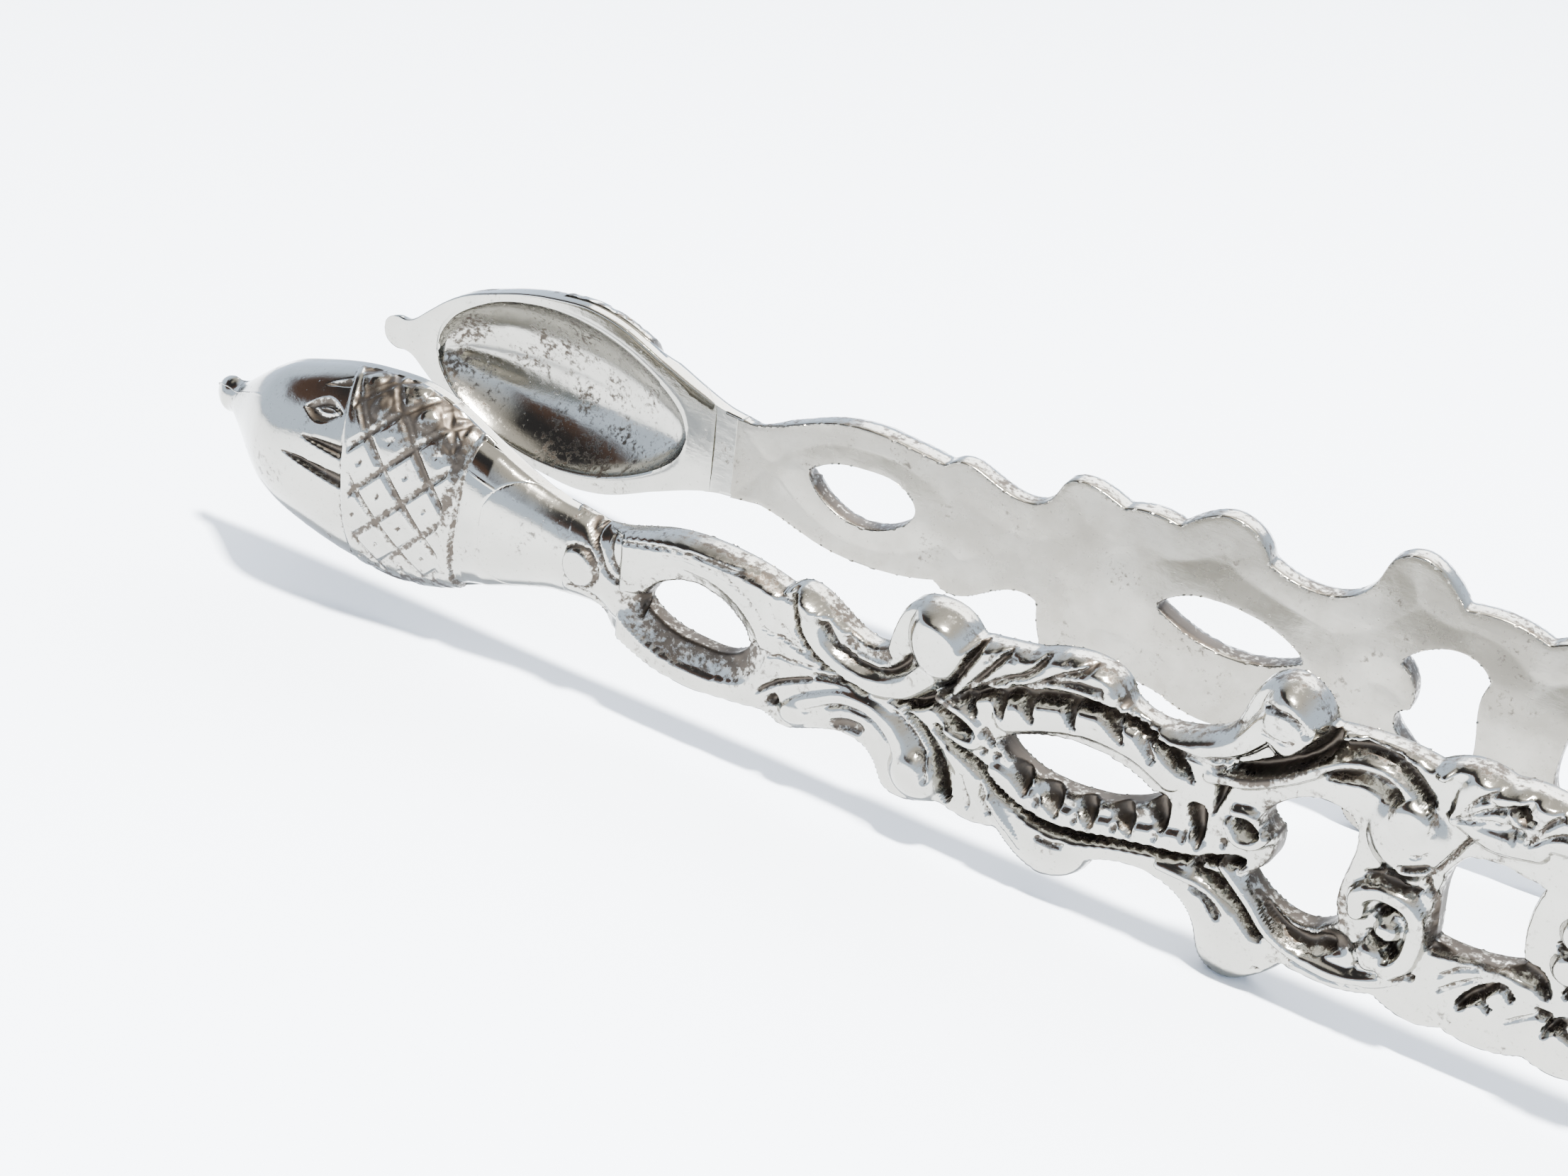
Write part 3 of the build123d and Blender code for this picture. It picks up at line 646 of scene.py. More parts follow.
def column(relief):
    """Upright of curled scrolls between the third and fourth openings."""
    relief.dome((83.7, 4.3), 2.5, 2.4, 0, 2.6, base=1.4, flat=1.6)
    relief.dome((83.7, 5.6), 1.2, 1.1, 0, 2.85, base=2.2)
    relief.ridge([(82.0, -0.8), (81.9, 0.1), (82.7, 0.8), (83.7, 0.9), (84.7, 0.5), (85.2, -0.4),
                  (85.25, -1.7), (85.0, -2.8), (84.2, -3.5)], 0.62, 2.5, base=1.4)
    relief.dome((83.8, -1.3), 0.8, 0.7, 0, 2.45, base=1.5)
    relief.dome((83.2, -3.2), 1.05, 1.0, 0, 2.5, base=1.4)
    relief.groove([(84.6, 6.4), (84.9, 5.8), (84.7, 5.2)], 0.14, 0.18, dark=0.5)
    relief.groove([(84.0, 3.75), (84.6, 3.95), (85.0, 4.3)], 0.14, 0.25, dark=0.6)
    relief.groove([(83.7, 2.7), (84.4, 3.0), (85.2, 3.4)], 0.28, 0.6, dark=0.95)
    relief.groove([(81.9, 1.35), (82.5, 1.6), (83.0, 2.0)], 0.2, 0.45, dark=0.8)
    relief.groove([(82.2, 1.15), (83.2, 1.55), (84.4, 1.45), (85.0, 1.7)], 0.22, 0.5, dark=0.8)
    relief.groove([(82.9, -0.75), (83.5, -0.15), (84.3, 0.0), (84.9, -0.6)], [0.3, 0.42, 0.3, 0.12], 0.95)
    relief.groove([(82.7, -2.0), (83.4, -1.95), (84.0, -2.2), (84.35, -2.9)], [0.2, 0.38, 0.38, 0.2], 0.95)
    relief.groove([(82.5, -3.1), (82.8, -3.8), (82.4, -4.5)], 0.14, 0.25, dark=0.5)
    relief.pit((84.9, -3.95), 0.5, 0.24, 40, 0.6)
    relief.pit((85.5, -3.6), 0.25, 0.25, 0, 0.5)
    relief.groove([(85.0, 2.7), (85.2, 2.1), (85.7, 1.5), (85.85, 0.6), (86.0, -0.2), (86.1, -0.9)], 0.22,
                  0.6, dark=0.9)
    relief.groove([(85.1, 2.7), (85.9, 4.0), (86.5, 5.3), (87.2, 6.2)], 0.17, 0.4, dark=0.9)
    relief.groove([(86.0, -1.5), (87.4, -1.2)], 0.35, 0.6)


def leaf_fan(relief, root, tips, crest, vein_depth=0.35):
    """Curled leaf: blades that sweep from one root, each with a groove beside it."""
    for tip in tips:
        middle = ((root[0] + tip[0]) / 2, (root[1] + tip[1]) / 2 + 0.35 * (1 if tip[1] > root[1] else -1))
        relief.ridge([root, middle, tip], [0.4, 0.85, 0.75], crest, base=1.3, sharp=2.5)
    for a, b in zip(tips, tips[1:]):
        end = ((a[0] + b[0]) / 2, (a[1] + b[1]) / 2)
        middle = ((root[0] + end[0]) / 2, (root[1] + end[1]) / 2 + 0.35 * (1 if end[1] > root[1] else -1))
        relief.groove([root, middle, end], [0.1, 0.17, 0.22], vein_depth, dark=0.65)


def leaves(relief):
    """Curling leaves above and below the fourth opening."""
    leaf_fan(relief, (85.7, 6.6), [(86.9, 9.1), (88.4, 9.1), (89.8, 8.0), (90.0, 6.5)], 2.25)
    leaf_fan(relief, (89.5, 6.8), [(90.1, 9.1), (91.7, 8.9), (92.3, 7.4)], 2.2)
    relief.groove([(88.4, 8.5), (88.9, 8.2), (89.7, 8.1)], [0.2, 0.35, 0.15], 0.9)
    relief.groove([(86.6, 8.4), (87.9, 8.1), (88.7, 7.0), (88.9, 6.4)], 0.15, 0.25, dark=0.5)
    relief.groove([(88.4, -0.7), (90.2, -0.5), (91.6, -0.7), (92.5, -1.5)], [0.4, 0.7, 0.75, 0.3], 1.0)
    relief.groove([(86.8, -2.9), (87.7, -2.0), (88.9, -1.4)], 0.16, 0.25, dark=0.5)
    relief.groove([(86.9, -3.8), (88.0, -2.7), (89.1, -1.9)], 0.16, 0.25, dark=0.5)
    relief.groove([(88.2, -4.2), (88.5, -3.6), (89.2, -2.7), (89.9, -1.9)], [0.25, 0.42, 0.42, 0.2], 0.95)
    relief.groove([(89.8, -1.8), (90.3, -2.0), (90.8, -2.5)], 0.22, 0.6)
    relief.groove([(88.9, -3.0), (89.3, -3.3), (89.9, -3.7)], 0.22, 0.6)
    relief.groove([(90.6, -3.9), (91.8, -2.9), (92.9, -2.2)], 0.16, 0.25, dark=0.5)
    relief.groove([(92.6, -3.8), (93.1, -2.9), (93.9, -2.0)], [0.2, 0.38, 0.3], 0.9)


def medallion(relief):
    """Flower in the middle of the cartouche, on a domed oval."""
    centre = CARTOUCHE
    relief.dome(centre, 2.6, 4.8, 0, 2.2, base=1.3, flat=2.2)
    for k in range(6):
        turn = math.radians(60 * k + 30)
        petal = (centre[0] + 1.15 * math.cos(turn), centre[1] + 1.9 * math.sin(turn))
        relief.dome(petal, 1.15, 1.0, 60 * k + 30, 2.75, base=1.9)
    for k in range(6):
        turn = math.radians(60 * k)
        rim = (centre[0] + 2.1 * math.cos(turn), centre[1] + 3.3 * math.sin(turn))
        relief.groove([(centre[0] + 0.6 * math.cos(turn), centre[1] + 0.9 * math.sin(turn)), rim],
                      [0.15, 0.3], 0.6)
    relief.dome(centre, 0.75, 0.85, 0, 3.0, base=2.1)
    for side in (-1, 1):
        ends = [(centre[0] + reach, centre[1] + side * 4.2) for reach in (-2.2, 2.2)]
        relief.groove([ends[0], (centre[0], centre[1] + side * 5.2), ends[1]], 0.3, 0.7)


def mirrored_end(relief):
    """The cartouche's far half repeats its near half, turned end for end, and closes on the shoulder."""
    axis = CARTOUCHE[0]
    far = (relief.s > axis) & (relief.s <= CARTOUCHE_END)
    for field in (relief.height, relief.dark):
        columns = np.round((2 * axis - relief.s[:, 0] - relief.low[0]) / relief.step).astype(int)
        chosen = np.where(far[:, 0])[0]
        field[chosen, :] = field[np.clip(columns[chosen], 0, relief.count[0] - 1), :]
    relief.dome((103.6, 4.4), 2.2, 3.0, 0, 2.7, base=1.3, flat=2.0)
    relief.dome((103.6, -2.6), 2.1, 2.2, 0, 2.6, base=1.3, flat=2.0)
    relief.groove([(102.4, 0.9), (103.6, 1.0), (104.8, 0.9)], 0.24, 0.6)
    for side, lift in ((1, 1.0), (-1, 0.85)):
        relief.ridge([(104.6, side * 5.8 * lift), (106.8, side * 5.4 * lift), (108.8, side * 4.2 * lift),
                      (110.4, side * 2.6 * lift), (111.8, 0)], [0.8, 0.7, 0.55, 0.35], [2.3, 2.2, 2.0, 1.5],
                     base=1.1)
        relief.groove([(105.6, side * 4.3 * lift), (107.4, side * 4.1 * lift), (109.0, side * 3.0 * lift)],
                      0.3, 0.6)
        relief.groove([(103.6, side * 5.4), (104.2, side * 4.6), (103.4, side * 3.9)], 0.2, 0.5)
    relief.ridge([(109.6, -2.2), (109.8, 0.0), (109.6, 2.2)], 0.35, 1.7, base=1.2)


def relief_field():
    """The arm's height and patina over its plan, with the distance to the plan's edge."""
    relief = Relief((ARM_START - 3 * STEP, -9.4), (ARM_END + 3 * STEP, 11.2), STEP)
    loops, samples = arm_boundary()
    inside = inside_loops(loops, relief.s, relief.t)
    inside |= (relief.s > 112.5) & (np.abs(relief.t) < SHOULDER_HALF)
    inside &= (relief.s > ARM_START) & (relief.s < ARM_END)
    near = inside.copy()
    for axis in (0, 1):
        for shift in (-1, 1):
            near |= np.roll(near, shift, axis)
    d, foot = distances(samples, relief.s, relief.t, near)
    carve(relief, np.where(inside, d, 0), samples[foot, 2] > 0.5)
    return relief, inside, near, d, foot, samples


# ---------------------------------------------------------------- the arm's mesh

def arm_mesh():
    """Points (along, across, outward), faces, patina and painted shade of the openwork casting; the painted
    shade darkens its inner faces.
    """
    relief, inside, near, d, foot, samples = relief_field()
    kept = inside | (near & (d < 0.75 * STEP))
    snap = (kept & ~inside) | (inside & (d < 0.35 * STEP))
    s, t = relief.s.copy(), relief.t.copy()
    s[snap], t[snap] = samples[foot[snap], 0], samples[foot[snap], 1]

    grain = value_noise(s, t, 0.45, 3) * 0.6 + value_noise(s, t, 0.2, 4) * 0.4
    wobble = value_noise(s, t, 1.6, 5)
    recess = np.clip(relief.dark, 0, 1)
    height = relief.height + 0.06 * wobble + (0.012 + 0.05 * recess) * grain
    hollow = np.clip((blurred(np.where(inside, height, 1.6), 0.35 / STEP) - height) / 0.45, 0, 1)
    height = np.where(snap, np.minimum(height, 1.2), np.maximum(height, 0.62))
    back = 0.16 * np.clip((d - 0.3) / 2.2, 0, 1) + 0.015 * value_noise(s, t, 2.3, 6) * np.clip(d, 0, 1)
    back = np.maximum(back, scarf_height(BOW_SCARF, s) * (s > BOW_SCARF[1][0]))
    height = np.maximum(height, back + 0.03)
    patina_and_shade = np.clip(0.8 * recess + 0.45 * hollow, 0, 1)

    number = -np.ones(kept.shape, int)
    number[kept] = np.arange(kept.sum())
    count = int(kept.sum())
    corners = [number[:-1, :-1], number[1:, :-1], number[1:, 1:], number[:-1, 1:]]
    ring = np.stack([c.ravel() for c in corners], 1)
    whole = (ring >= 0).sum(1)
    tops = [tuple(int(v) for v in row) for row in ring[whole == 4]]
    tops += [tuple(int(v) for v in row if v >= 0) for row in ring[whole == 3]]
    middle = inside.astype(float)
    slope_s, slope_t = np.gradient(blurred(middle, 2.0))
    length = np.hypot(slope_s, slope_t) + 1e-9
    inward = np.stack([(slope_s / length)[kept], (slope_t / length)[kept]], 1)

    plan = np.stack([s[kept], t[kept]], 1)
    top, low = height[kept], back[kept]
    edges = {}
    for face in tops:
        for a, b in zip(face, face[1:] + face[:1]):
            edges[(a, b)] = True
    border = [(a, b) for (a, b) in edges if (b, a) not in edges]
    rim = sorted({v for edge in border for v in edge})
    order = {v: i for i, v in enumerate(rim)}
    rim = np.array(rim)
    inset = plan.copy()
    inset[rim] += 0.07 * inward[rim]

    points = [np.column_stack([plan, top]), np.column_stack([inset, low])]
    rows = []
    for share in (0.10, 0.45, 0.8):
        rows.append(2 * count + len(rim) * len(rows))
        points.append(np.column_stack([plan[rim], low[rim] + (top[rim] - low[rim]) * share]))
    faces = tops + [tuple(count + v for v in face[::-1]) for face in tops]
    for a, b in border:
        levels = [count + a] + [row + order[a] for row in rows] + [a]
        others = [count + b] + [row + order[b] for row in rows] + [b]
        for k in range(len(levels) - 1):
            faces.append((levels[k], others[k], others[k + 1], levels[k + 1]))
    patina_and_shade = patina_and_shade[kept]
    at_opening = (samples[foot, 2] > 0.5)[kept][rim]
    edge_dark = np.where(at_opening & (plan[rim, 0] < OPENINGS_END), 0.85, 0.35)
    values = np.concatenate([patina_and_shade, np.full(count, 0.0)] + [edge_dark * k for k in (0.7, 1.0, 0.8)])
    # Painted shade: the inner face, which looks at the other arm, gets the full darker warm tone, and the
    # walls less of it the nearer they are to the outer face.
    inner = np.concatenate([np.zeros(count), np.ones(count)] + [np.full(len(rim), k) for k in (0.9, 0.45,
                                                                                               0.2)])
    return np.vstack(points), faces, values, inner


# ---------------------------------------------------------------- rings: the neck, the acorn and the bow

def skin_rings(rings, close_ends=True):
    """Faces over a stack of closed rings that all have the same number of points."""
    n, k = len(rings[0]), len(rings)
    faces = []
    for i in range(k - 1):
        for j in range(n):
            a, b = i * n + j, i * n + (j + 1) % n
            faces.append((a, b, b + n, a + n))
    if close_ends:
        faces.append(tuple(range(n))[::-1])
        faces.append(tuple((k - 1) * n + j for j in range(n)))
    return np.vstack(rings), faces


CUP_RISE = 0.10  # the cup stands this far proud of the nut
NECK_SINK = 0.24  # and the neck this far inside it


def cup_edges(degrees):
    """Where the cup starts and ends along the acorn, at angles round from its ridge."""
    start = 14.4 - 2.4 * np.clip((degrees + 15) / 105, 0, 1) ** 2
    end = 22.25 - 0.7 * np.clip((15 - degrees) / 66, 0, 1)
    return start, end


def step_up(x, half_width):
    return np.clip(0.5 + 0.5 * x / half_width, 0, 1)


def bump(x, half_width):
    return np.clip(1 - (x / half_width) ** 2, 0, 1)


def outer_shell(s, angle):
    """Outside of the acorn and neck at places along and angles round: across, outward, and patina with
    painted shade.
    """
    r, d, w = profile(RIM, s), profile(DEPTH, s), profile(WALL, s)
    across, out = r * np.sin(angle), w + (d - w) * np.cos(angle)
    girth = np.cumsum(np.hypot(np.gradient(across, axis=1), np.gradient(out, axis=1)), axis=1)
    middle = np.argmin(np.abs(angle[0]))
    girth -= girth[:, middle:middle + 1]
    cut, dark = chasing(s, girth, np.degrees(angle))
    lean_t, lean_n = (d - w) * np.sin(angle), r * np.cos(angle)
    length = np.hypot(lean_t, lean_n) + 1e-6
    cut = np.minimum(cut, 0.45 * r)
    return across - cut * lean_t / length, out - cut * lean_n / length, dark


# Slits in the nut: tip along the acorn, angles at the tip and at the cup, half width and depth.
SLITS = [
    (9.3, 11, 3.5, 0.47, 0.36),
    (10.8, 24, 20.5, 0.43, 0.34),
    (11.0, 62, 68, 0.5, 0.28),
]


def chasing(s, girth, degrees):
    """Depth and darkness of the cup's hatching, the nut's slits and the step down to the neck."""
    start, end = cup_edges(degrees)
    on_cup = step_up(s - start, 0.07) * step_up(end - s, 0.05)
    cut = -CUP_RISE * on_cup + NECK_SINK * step_up(s - end, 0.05) * np.clip((23.7 - s) / 1.5, 0, 1)
    dark = 0.5 * bump(s - start + 0.08, 0.16) + 0.75 * bump(s - end - 0.02, 0.16)
    shade = np.clip((degrees - 30) / 22, 0, 1)  # the upper side is rougher, and painted darker as a painted reflection of the dark room

    # The hatching is a skewed lattice: a and b count its lines, and a dot is punched in each diamond.
    ds, dg = s - 18.46, girth - 0.22
    a, b = (1.9 * ds + 1.45 * dg) / 6.0, (1.85 * ds - 1.75 * dg) / 6.0
    line = np.maximum(bump((a - np.round(a)) * 2.51, 0.31), bump((b - np.round(b)) * 2.36, 0.31))
    line *= np.clip((62 + degrees) / 30, 0.25, 1)
    dot_a, dot_b = np.abs(a - np.floor(a) - 0.5) * 2.51, np.abs(b - np.floor(b) - 0.5) * 2.36
    dot = bump(np.maximum(dot_a, dot_b + 0.08), 0.27)
    boss = bump(np.hypot(dot_a, dot_b), 0.75) * shade
    inside = step_up(s - start - 0.45, 0.1) * step_up(end - 0.9 - s, 0.2)
    lumps = value_noise(s, girth, 0.75, 11) + 0.6 * value_noise(s, girth, 0.38, 12)
    hatch = on_cup * inside * (0.22 * line * (1 - 0.55 * shade) + 0.16 * dot * (1 - shade))
    rough = on_cup * shade * np.clip(inside + 0.3, 0, 1)
    cut += hatch + rough * (0.055 * lumps + 0.06 - 0.16 * boss)
    dark = np.maximum(dark, on_cup * inside * np.maximum(0.78 * line, 0.9 * dot * (1 - shade)))
    # Painted dark reflection over the rough upper side of the cup.
    dark = np.maximum(dark, rough * np.clip(0.75 + 0.45 * lumps - 0.45 * boss, 0, 1))
    band = bump(s - end + 0.55, 0.6) * np.clip(0.35 + (degrees + 15) / 50, 0.35, 1)
    dark = np.maximum(dark, band * np.clip(0.8 + 0.3 * lumps, 0, 1))
    cut += 0.05 * band * lumps
    # The underside is darker and mottled: partly patina, partly a painted reflection of the shadowed floor.
    below = np.clip((-degrees - 32) / 25, 0, 1) * np.clip((s - 5) / 3, 0, 1) * np.clip((end - s) / 0.5, 0, 1)
    dark = np.maximum(dark, below * np.clip(0.42 + 0.75 * lumps, 0, 0.9))

    # The slits run up to the cup's edge.
    for tip, at_tip, at_cup, width, deep in SLITS:
        u = (s - tip) / (start - 0.1 - tip)
        angle = at_tip + (at_cup - at_tip) * u
        gap = np.radians(degrees - angle) * np.maximum(girth_radius(s), 0.5)
        taper = np.clip(u, 0, 1) ** 0.7 * (u < 1)
        slit = bump(gap / np.maximum(width * taper, 0.02), 1.0) * (u > 0) * (u < 1)
        cut += deep * slit * np.clip(3 * u, 0, 1)
        dark = np.maximum(dark, slit ** 0.5)
    u = np.clip((s - 10.4) / 3.0, 0, 1)
    gap = np.radians(degrees - 43) * np.maximum(girth_radius(s), 0.5)
    lens = bump(gap / np.maximum(0.95 * np.sin(math.pi * u), 0.02), 1.0) * (u > 0) * (u < 1)
    bead = bump(gap / np.maximum(0.42 * np.sin(math.pi * np.clip((s - 11.1) / 2.1, 0, 1)), 0.02), 1.0)
    core = bump(gap / np.maximum(0.16 * np.sin(math.pi * np.clip((s - 11.5) / 1.5, 0, 1)), 0.02), 1.0)
    cut += 0.28 * lens - 0.30 * bead + 0.16 * core
    dark = np.maximum(dark, np.where(bead > 0, core, lens ** 0.5))
    ring = bump(s - 1.7, 0.45) * (s < 2.2)
    return cut + 0.03 * ring, np.maximum(dark, 0.25 * ring)


def girth_radius(s):
    """Mean radius of the acorn's half-round section."""
    return (profile(RIM, s) + profile(DEPTH, s)) / 2


def neck_mesh():
    """The neck from the sloping cut to just inside the collar."""
    n_out, n_wall, n_base = 71, 4, 24
    stations = np.concatenate([np.linspace(23.95, 28.2, 60), np.linspace(28.3, ARM_START + 0.5, 16)])
    angle = np.linspace(-math.pi / 2, math.pi / 2, n_out)
    grid_s = np.repeat(stations[:, None], n_out, axis=1)
    across, out, _ = outer_shell(grid_s, np.repeat(angle[None], len(stations), axis=0))
    rings = []
    for s, t, n in zip(stations, across, out):
        floor = max(0.0, scarf_height(NECK_SCARF, s - SEAM / 5))
        # Points under the cut slide along it to the place where the outside meets it.
        above = n >= floor
        if above.any():
            edge = np.abs(t[above]).max()
        else:
            edge = 0.02
        t, n = np.clip(t, -edge, edge), np.maximum(n, floor)
        wall = np.linspace(0.75, 0.0, n_wall) * (n[0] - floor) + floor
        right = np.column_stack([np.full(n_wall, s), np.full(n_wall, t[-1]), wall])
        chord = np.linspace(t[-1], t[0], n_base + 2)[1:-1]
        dip = 0.10 * np.clip(1 - (chord / t[-1]) ** 2, 0, 1) * (floor == 0)
        base = np.column_stack([np.full(n_base, s), chord, np.full(n_base, floor) + dip])
        left = np.column_stack([np.full(n_wall, s), np.full(n_wall, t[0]), wall[::-1]])
        rings.append(np.vstack([np.column_stack([np.full(n_out, s), t, n]), right, base, left]))
    return skin_rings(rings)


def acorn_mesh():
    """Closed hollow acorn: outside, upright edge, flat rim and polished hollow, up to the sloping cut."""
    stations = np.concatenate([
        NUB_TIP + 0.5 * np.linspace(0.02, 1, 12) ** 2, np.linspace(0.0, 4.0, 40), np.linspace(4.1, 8.9, 50),
        np.linspace(9.0, 22.6, 170), np.linspace(22.7, 27.6, 45)])
    n_out, n_rim, n_in = 161, 12, 60
    angle = np.linspace(-math.pi / 2, math.pi / 2, n_out)
    grid_s = np.repeat(stations[:, None], n_out, axis=1)
    across, out, dark = outer_shell(grid_s, np.repeat(angle[None], len(stations), axis=0))
    rims, walls, cavities = profile(RIM, stations), profile(WALL, stations), profile(HOLLOW, stations)
    rings, darks, inner_shades = [], [], []
    for s, t, n, shade, r, w, c in zip(stations, across, out, dark, rims, walls, cavities):
        ceiling = max(0.0, scarf_height(NECK_SCARF, s)) if s > NECK_SCARF[0][0] else FAR
        outer = np.column_stack([np.full(n_out, s), t, np.minimum(n, ceiling)])
        high = min(w, ceiling)
        edge = np.array([(r, high), (r, 0.7 * high), (r, 0.4 * high), (r, 0.12), (r - 0.04, 0.03),
                         (r - 0.12, 0.0)])
        edge[:, 1] = np.minimum(edge[:, 1], high)
        lip = np.linspace(r - 0.12, c, 7)[1:]
        soft = np.array([0, 0, 0, 0, 0.02, 0.08]) * (c > 0.3)
        rim = np.vstack([edge, np.column_stack([lip, soft])])
        rim = np.column_stack([np.full(n_rim, s), rim])
        turn = np.linspace(math.pi / 2, -math.pi / 2, n_in)
        inner = HOLLOW_DEPTH * c * np.cos(turn) ** 1.6 + soft[-1]
        hollow = np.column_stack([np.full(n_in, s), c * np.sin(turn),
                                  np.minimum(inner, max(ceiling - 0.3, 0.0))])
        rings.append(np.vstack([outer, rim, hollow, rim[::-1] * [1, -1, 1]]))
        # The hollow is darkened with noise: partly tarnish, partly painted shade.
        tarnish_and_shade = 0.24 * (c > 0.2) * (1 + value_noise(hollow[:, 0], hollow[:, 1], 1.9, 14))
        darks.append(np.concatenate([shade, np.zeros(n_rim), tarnish_and_shade, np.zeros(n_rim)]))
        # Painted shade: the hollow and the flat rim, which face the other arm, are marked for the darker warm
        # tone.
        inside = np.full(n_in, 1.0 if c > 0.2 else 0.3)
        inner_shades.append(np.concatenate([np.zeros(n_out), np.full(n_rim, 0.3), inside, np.full(n_rim, 0.3)]))
    points, faces = skin_rings(rings)
    return points, faces, np.concatenate(darks), np.concatenate(inner_shades)


def bow_mesh():
    """One half of the spring bow, from its scarf to the middle of the bend."""
    from_origin = (LENGTH / 2 - STRIP - ORIGIN_X) * math.sin(SPLAY)
    inside_radius = (TIP_HALF_GAP * math.cos(SPLAY) + from_origin) / (1 + math.sin(SPLAY))
    centre = LENGTH / 2 - STRIP - inside_radius
    tangent = (centre - ORIGIN_X) * math.cos(SPLAY) - TIP_HALF_GAP * math.sin(SPLAY)
    end = tangent + inside_radius * (math.pi / 2 + SPLAY)
    narrow, wide, ease = 4.5, 8.0, 0.28
    corner = np.linspace(0, math.pi / 2, 5)
    rings = []
    for share in np.linspace(0, 1, 150):
        ring = []
        reach = BOW_SCARF[1][0] + (end - BOW_SCARF[1][0]) * share
        swell = np.clip((reach - 121) / (tangent - 121), 0, 1)
        half = narrow + (wide - narrow) * swell**2 * (3 - 2 * swell)
        corners = []
        for across_sign, deep in ((1, 1), (-1, 1), (-1, 0), (1, 0)):
            middle = (across_sign * (half - ease), STRIP - ease if deep else ease)
            sweep = corner if (across_sign > 0) != bool(deep) else corner[::-1]
            for a in sweep:
                corners.append((middle[0] + across_sign * ease * math.cos(a),
                                middle[1] + (1 if deep else -1) * ease * math.sin(a)))
            if len(corners) in (5, 15):
                far = -half + ease if across_sign > 0 else half - ease
                level = STRIP if deep else 0.0
                for w in np.linspace(across_sign * (half - ease), far, 26)[1:-1]:
                    corners.append((w, level))
        for across, n in corners:
            start = BOW_SCARF[1][0] + SEAM * 1.05 + (BOW_SCARF[0][0] - BOW_SCARF[1][0]) * n / STRIP
            u = start + (end - start) * share
            if u <= tangent:
                ring.append((u, across, n))
            else:
                phi = (u - tangent) / inside_radius
                ring.append((tangent + (inside_radius + n) * math.sin(phi), across,
                             -inside_radius + (inside_radius + n) * math.cos(phi)))
        rings.append(np.array(ring))
    return skin_rings(rings)


# ---------------------------------------------------------------- materials

def node(tree, kind, **settings):
    made = tree.nodes.new(kind)
    for key, value in settings.items():
        setattr(made, key, value)
    return made


def noise(tree, place, scale, detail=4.0, rough=0.55, stretch=(1, 1, 1)):
    """A noise texture in object space, scaled in features per metre."""
    mapping = node(tree, "ShaderNodeMapping")
    mapping.inputs["Scale"].default_value = stretch
    tree.links.new(place, mapping.inputs["Vector"])
    made = node(tree, "ShaderNodeTexNoise")
    made.inputs["Scale"].default_value = scale
    made.inputs["Detail"].default_value = detail
    made.inputs["Roughness"].default_value = rough
    tree.links.new(mapping.outputs["Vector"], made.inputs["Vector"])
    return made.outputs["Fac"]


def ramp(tree, value, low, high, to_low=0.0, to_high=1.0):
    made = node(tree, "ShaderNodeMapRange", interpolation_type="SMOOTHSTEP")
    made.inputs["From Min"].default_value = low
    made.inputs["From Max"].default_value = high
    made.inputs["To Min"].default_value = to_low
    made.inputs["To Max"].default_value = to_high
    tree.links.new(value, made.inputs["Value"])
    return made.outputs["Result"]


def math_node(tree, operation, a, b):
    made = node(tree, "ShaderNodeMath", operation=operation)
    for socket, value in zip(made.inputs, (a, b)):
        if isinstance(value, (int, float)):
            socket.default_value = value
        else:
            tree.links.new(value, socket)
    return made.outputs[0]


def mix_colour(tree, share, a, b):
    made = node(tree, "ShaderNodeMix", data_type="RGBA")
    tree.links.new(share, made.inputs["Factor"])
    for socket, value in ((made.inputs[6], a), (made.inputs[7], b)):
        if isinstance(value, tuple):
            socket.default_value = (*value, 1)
        else:
            tree.links.new(value, socket)
    return made.outputs[2]


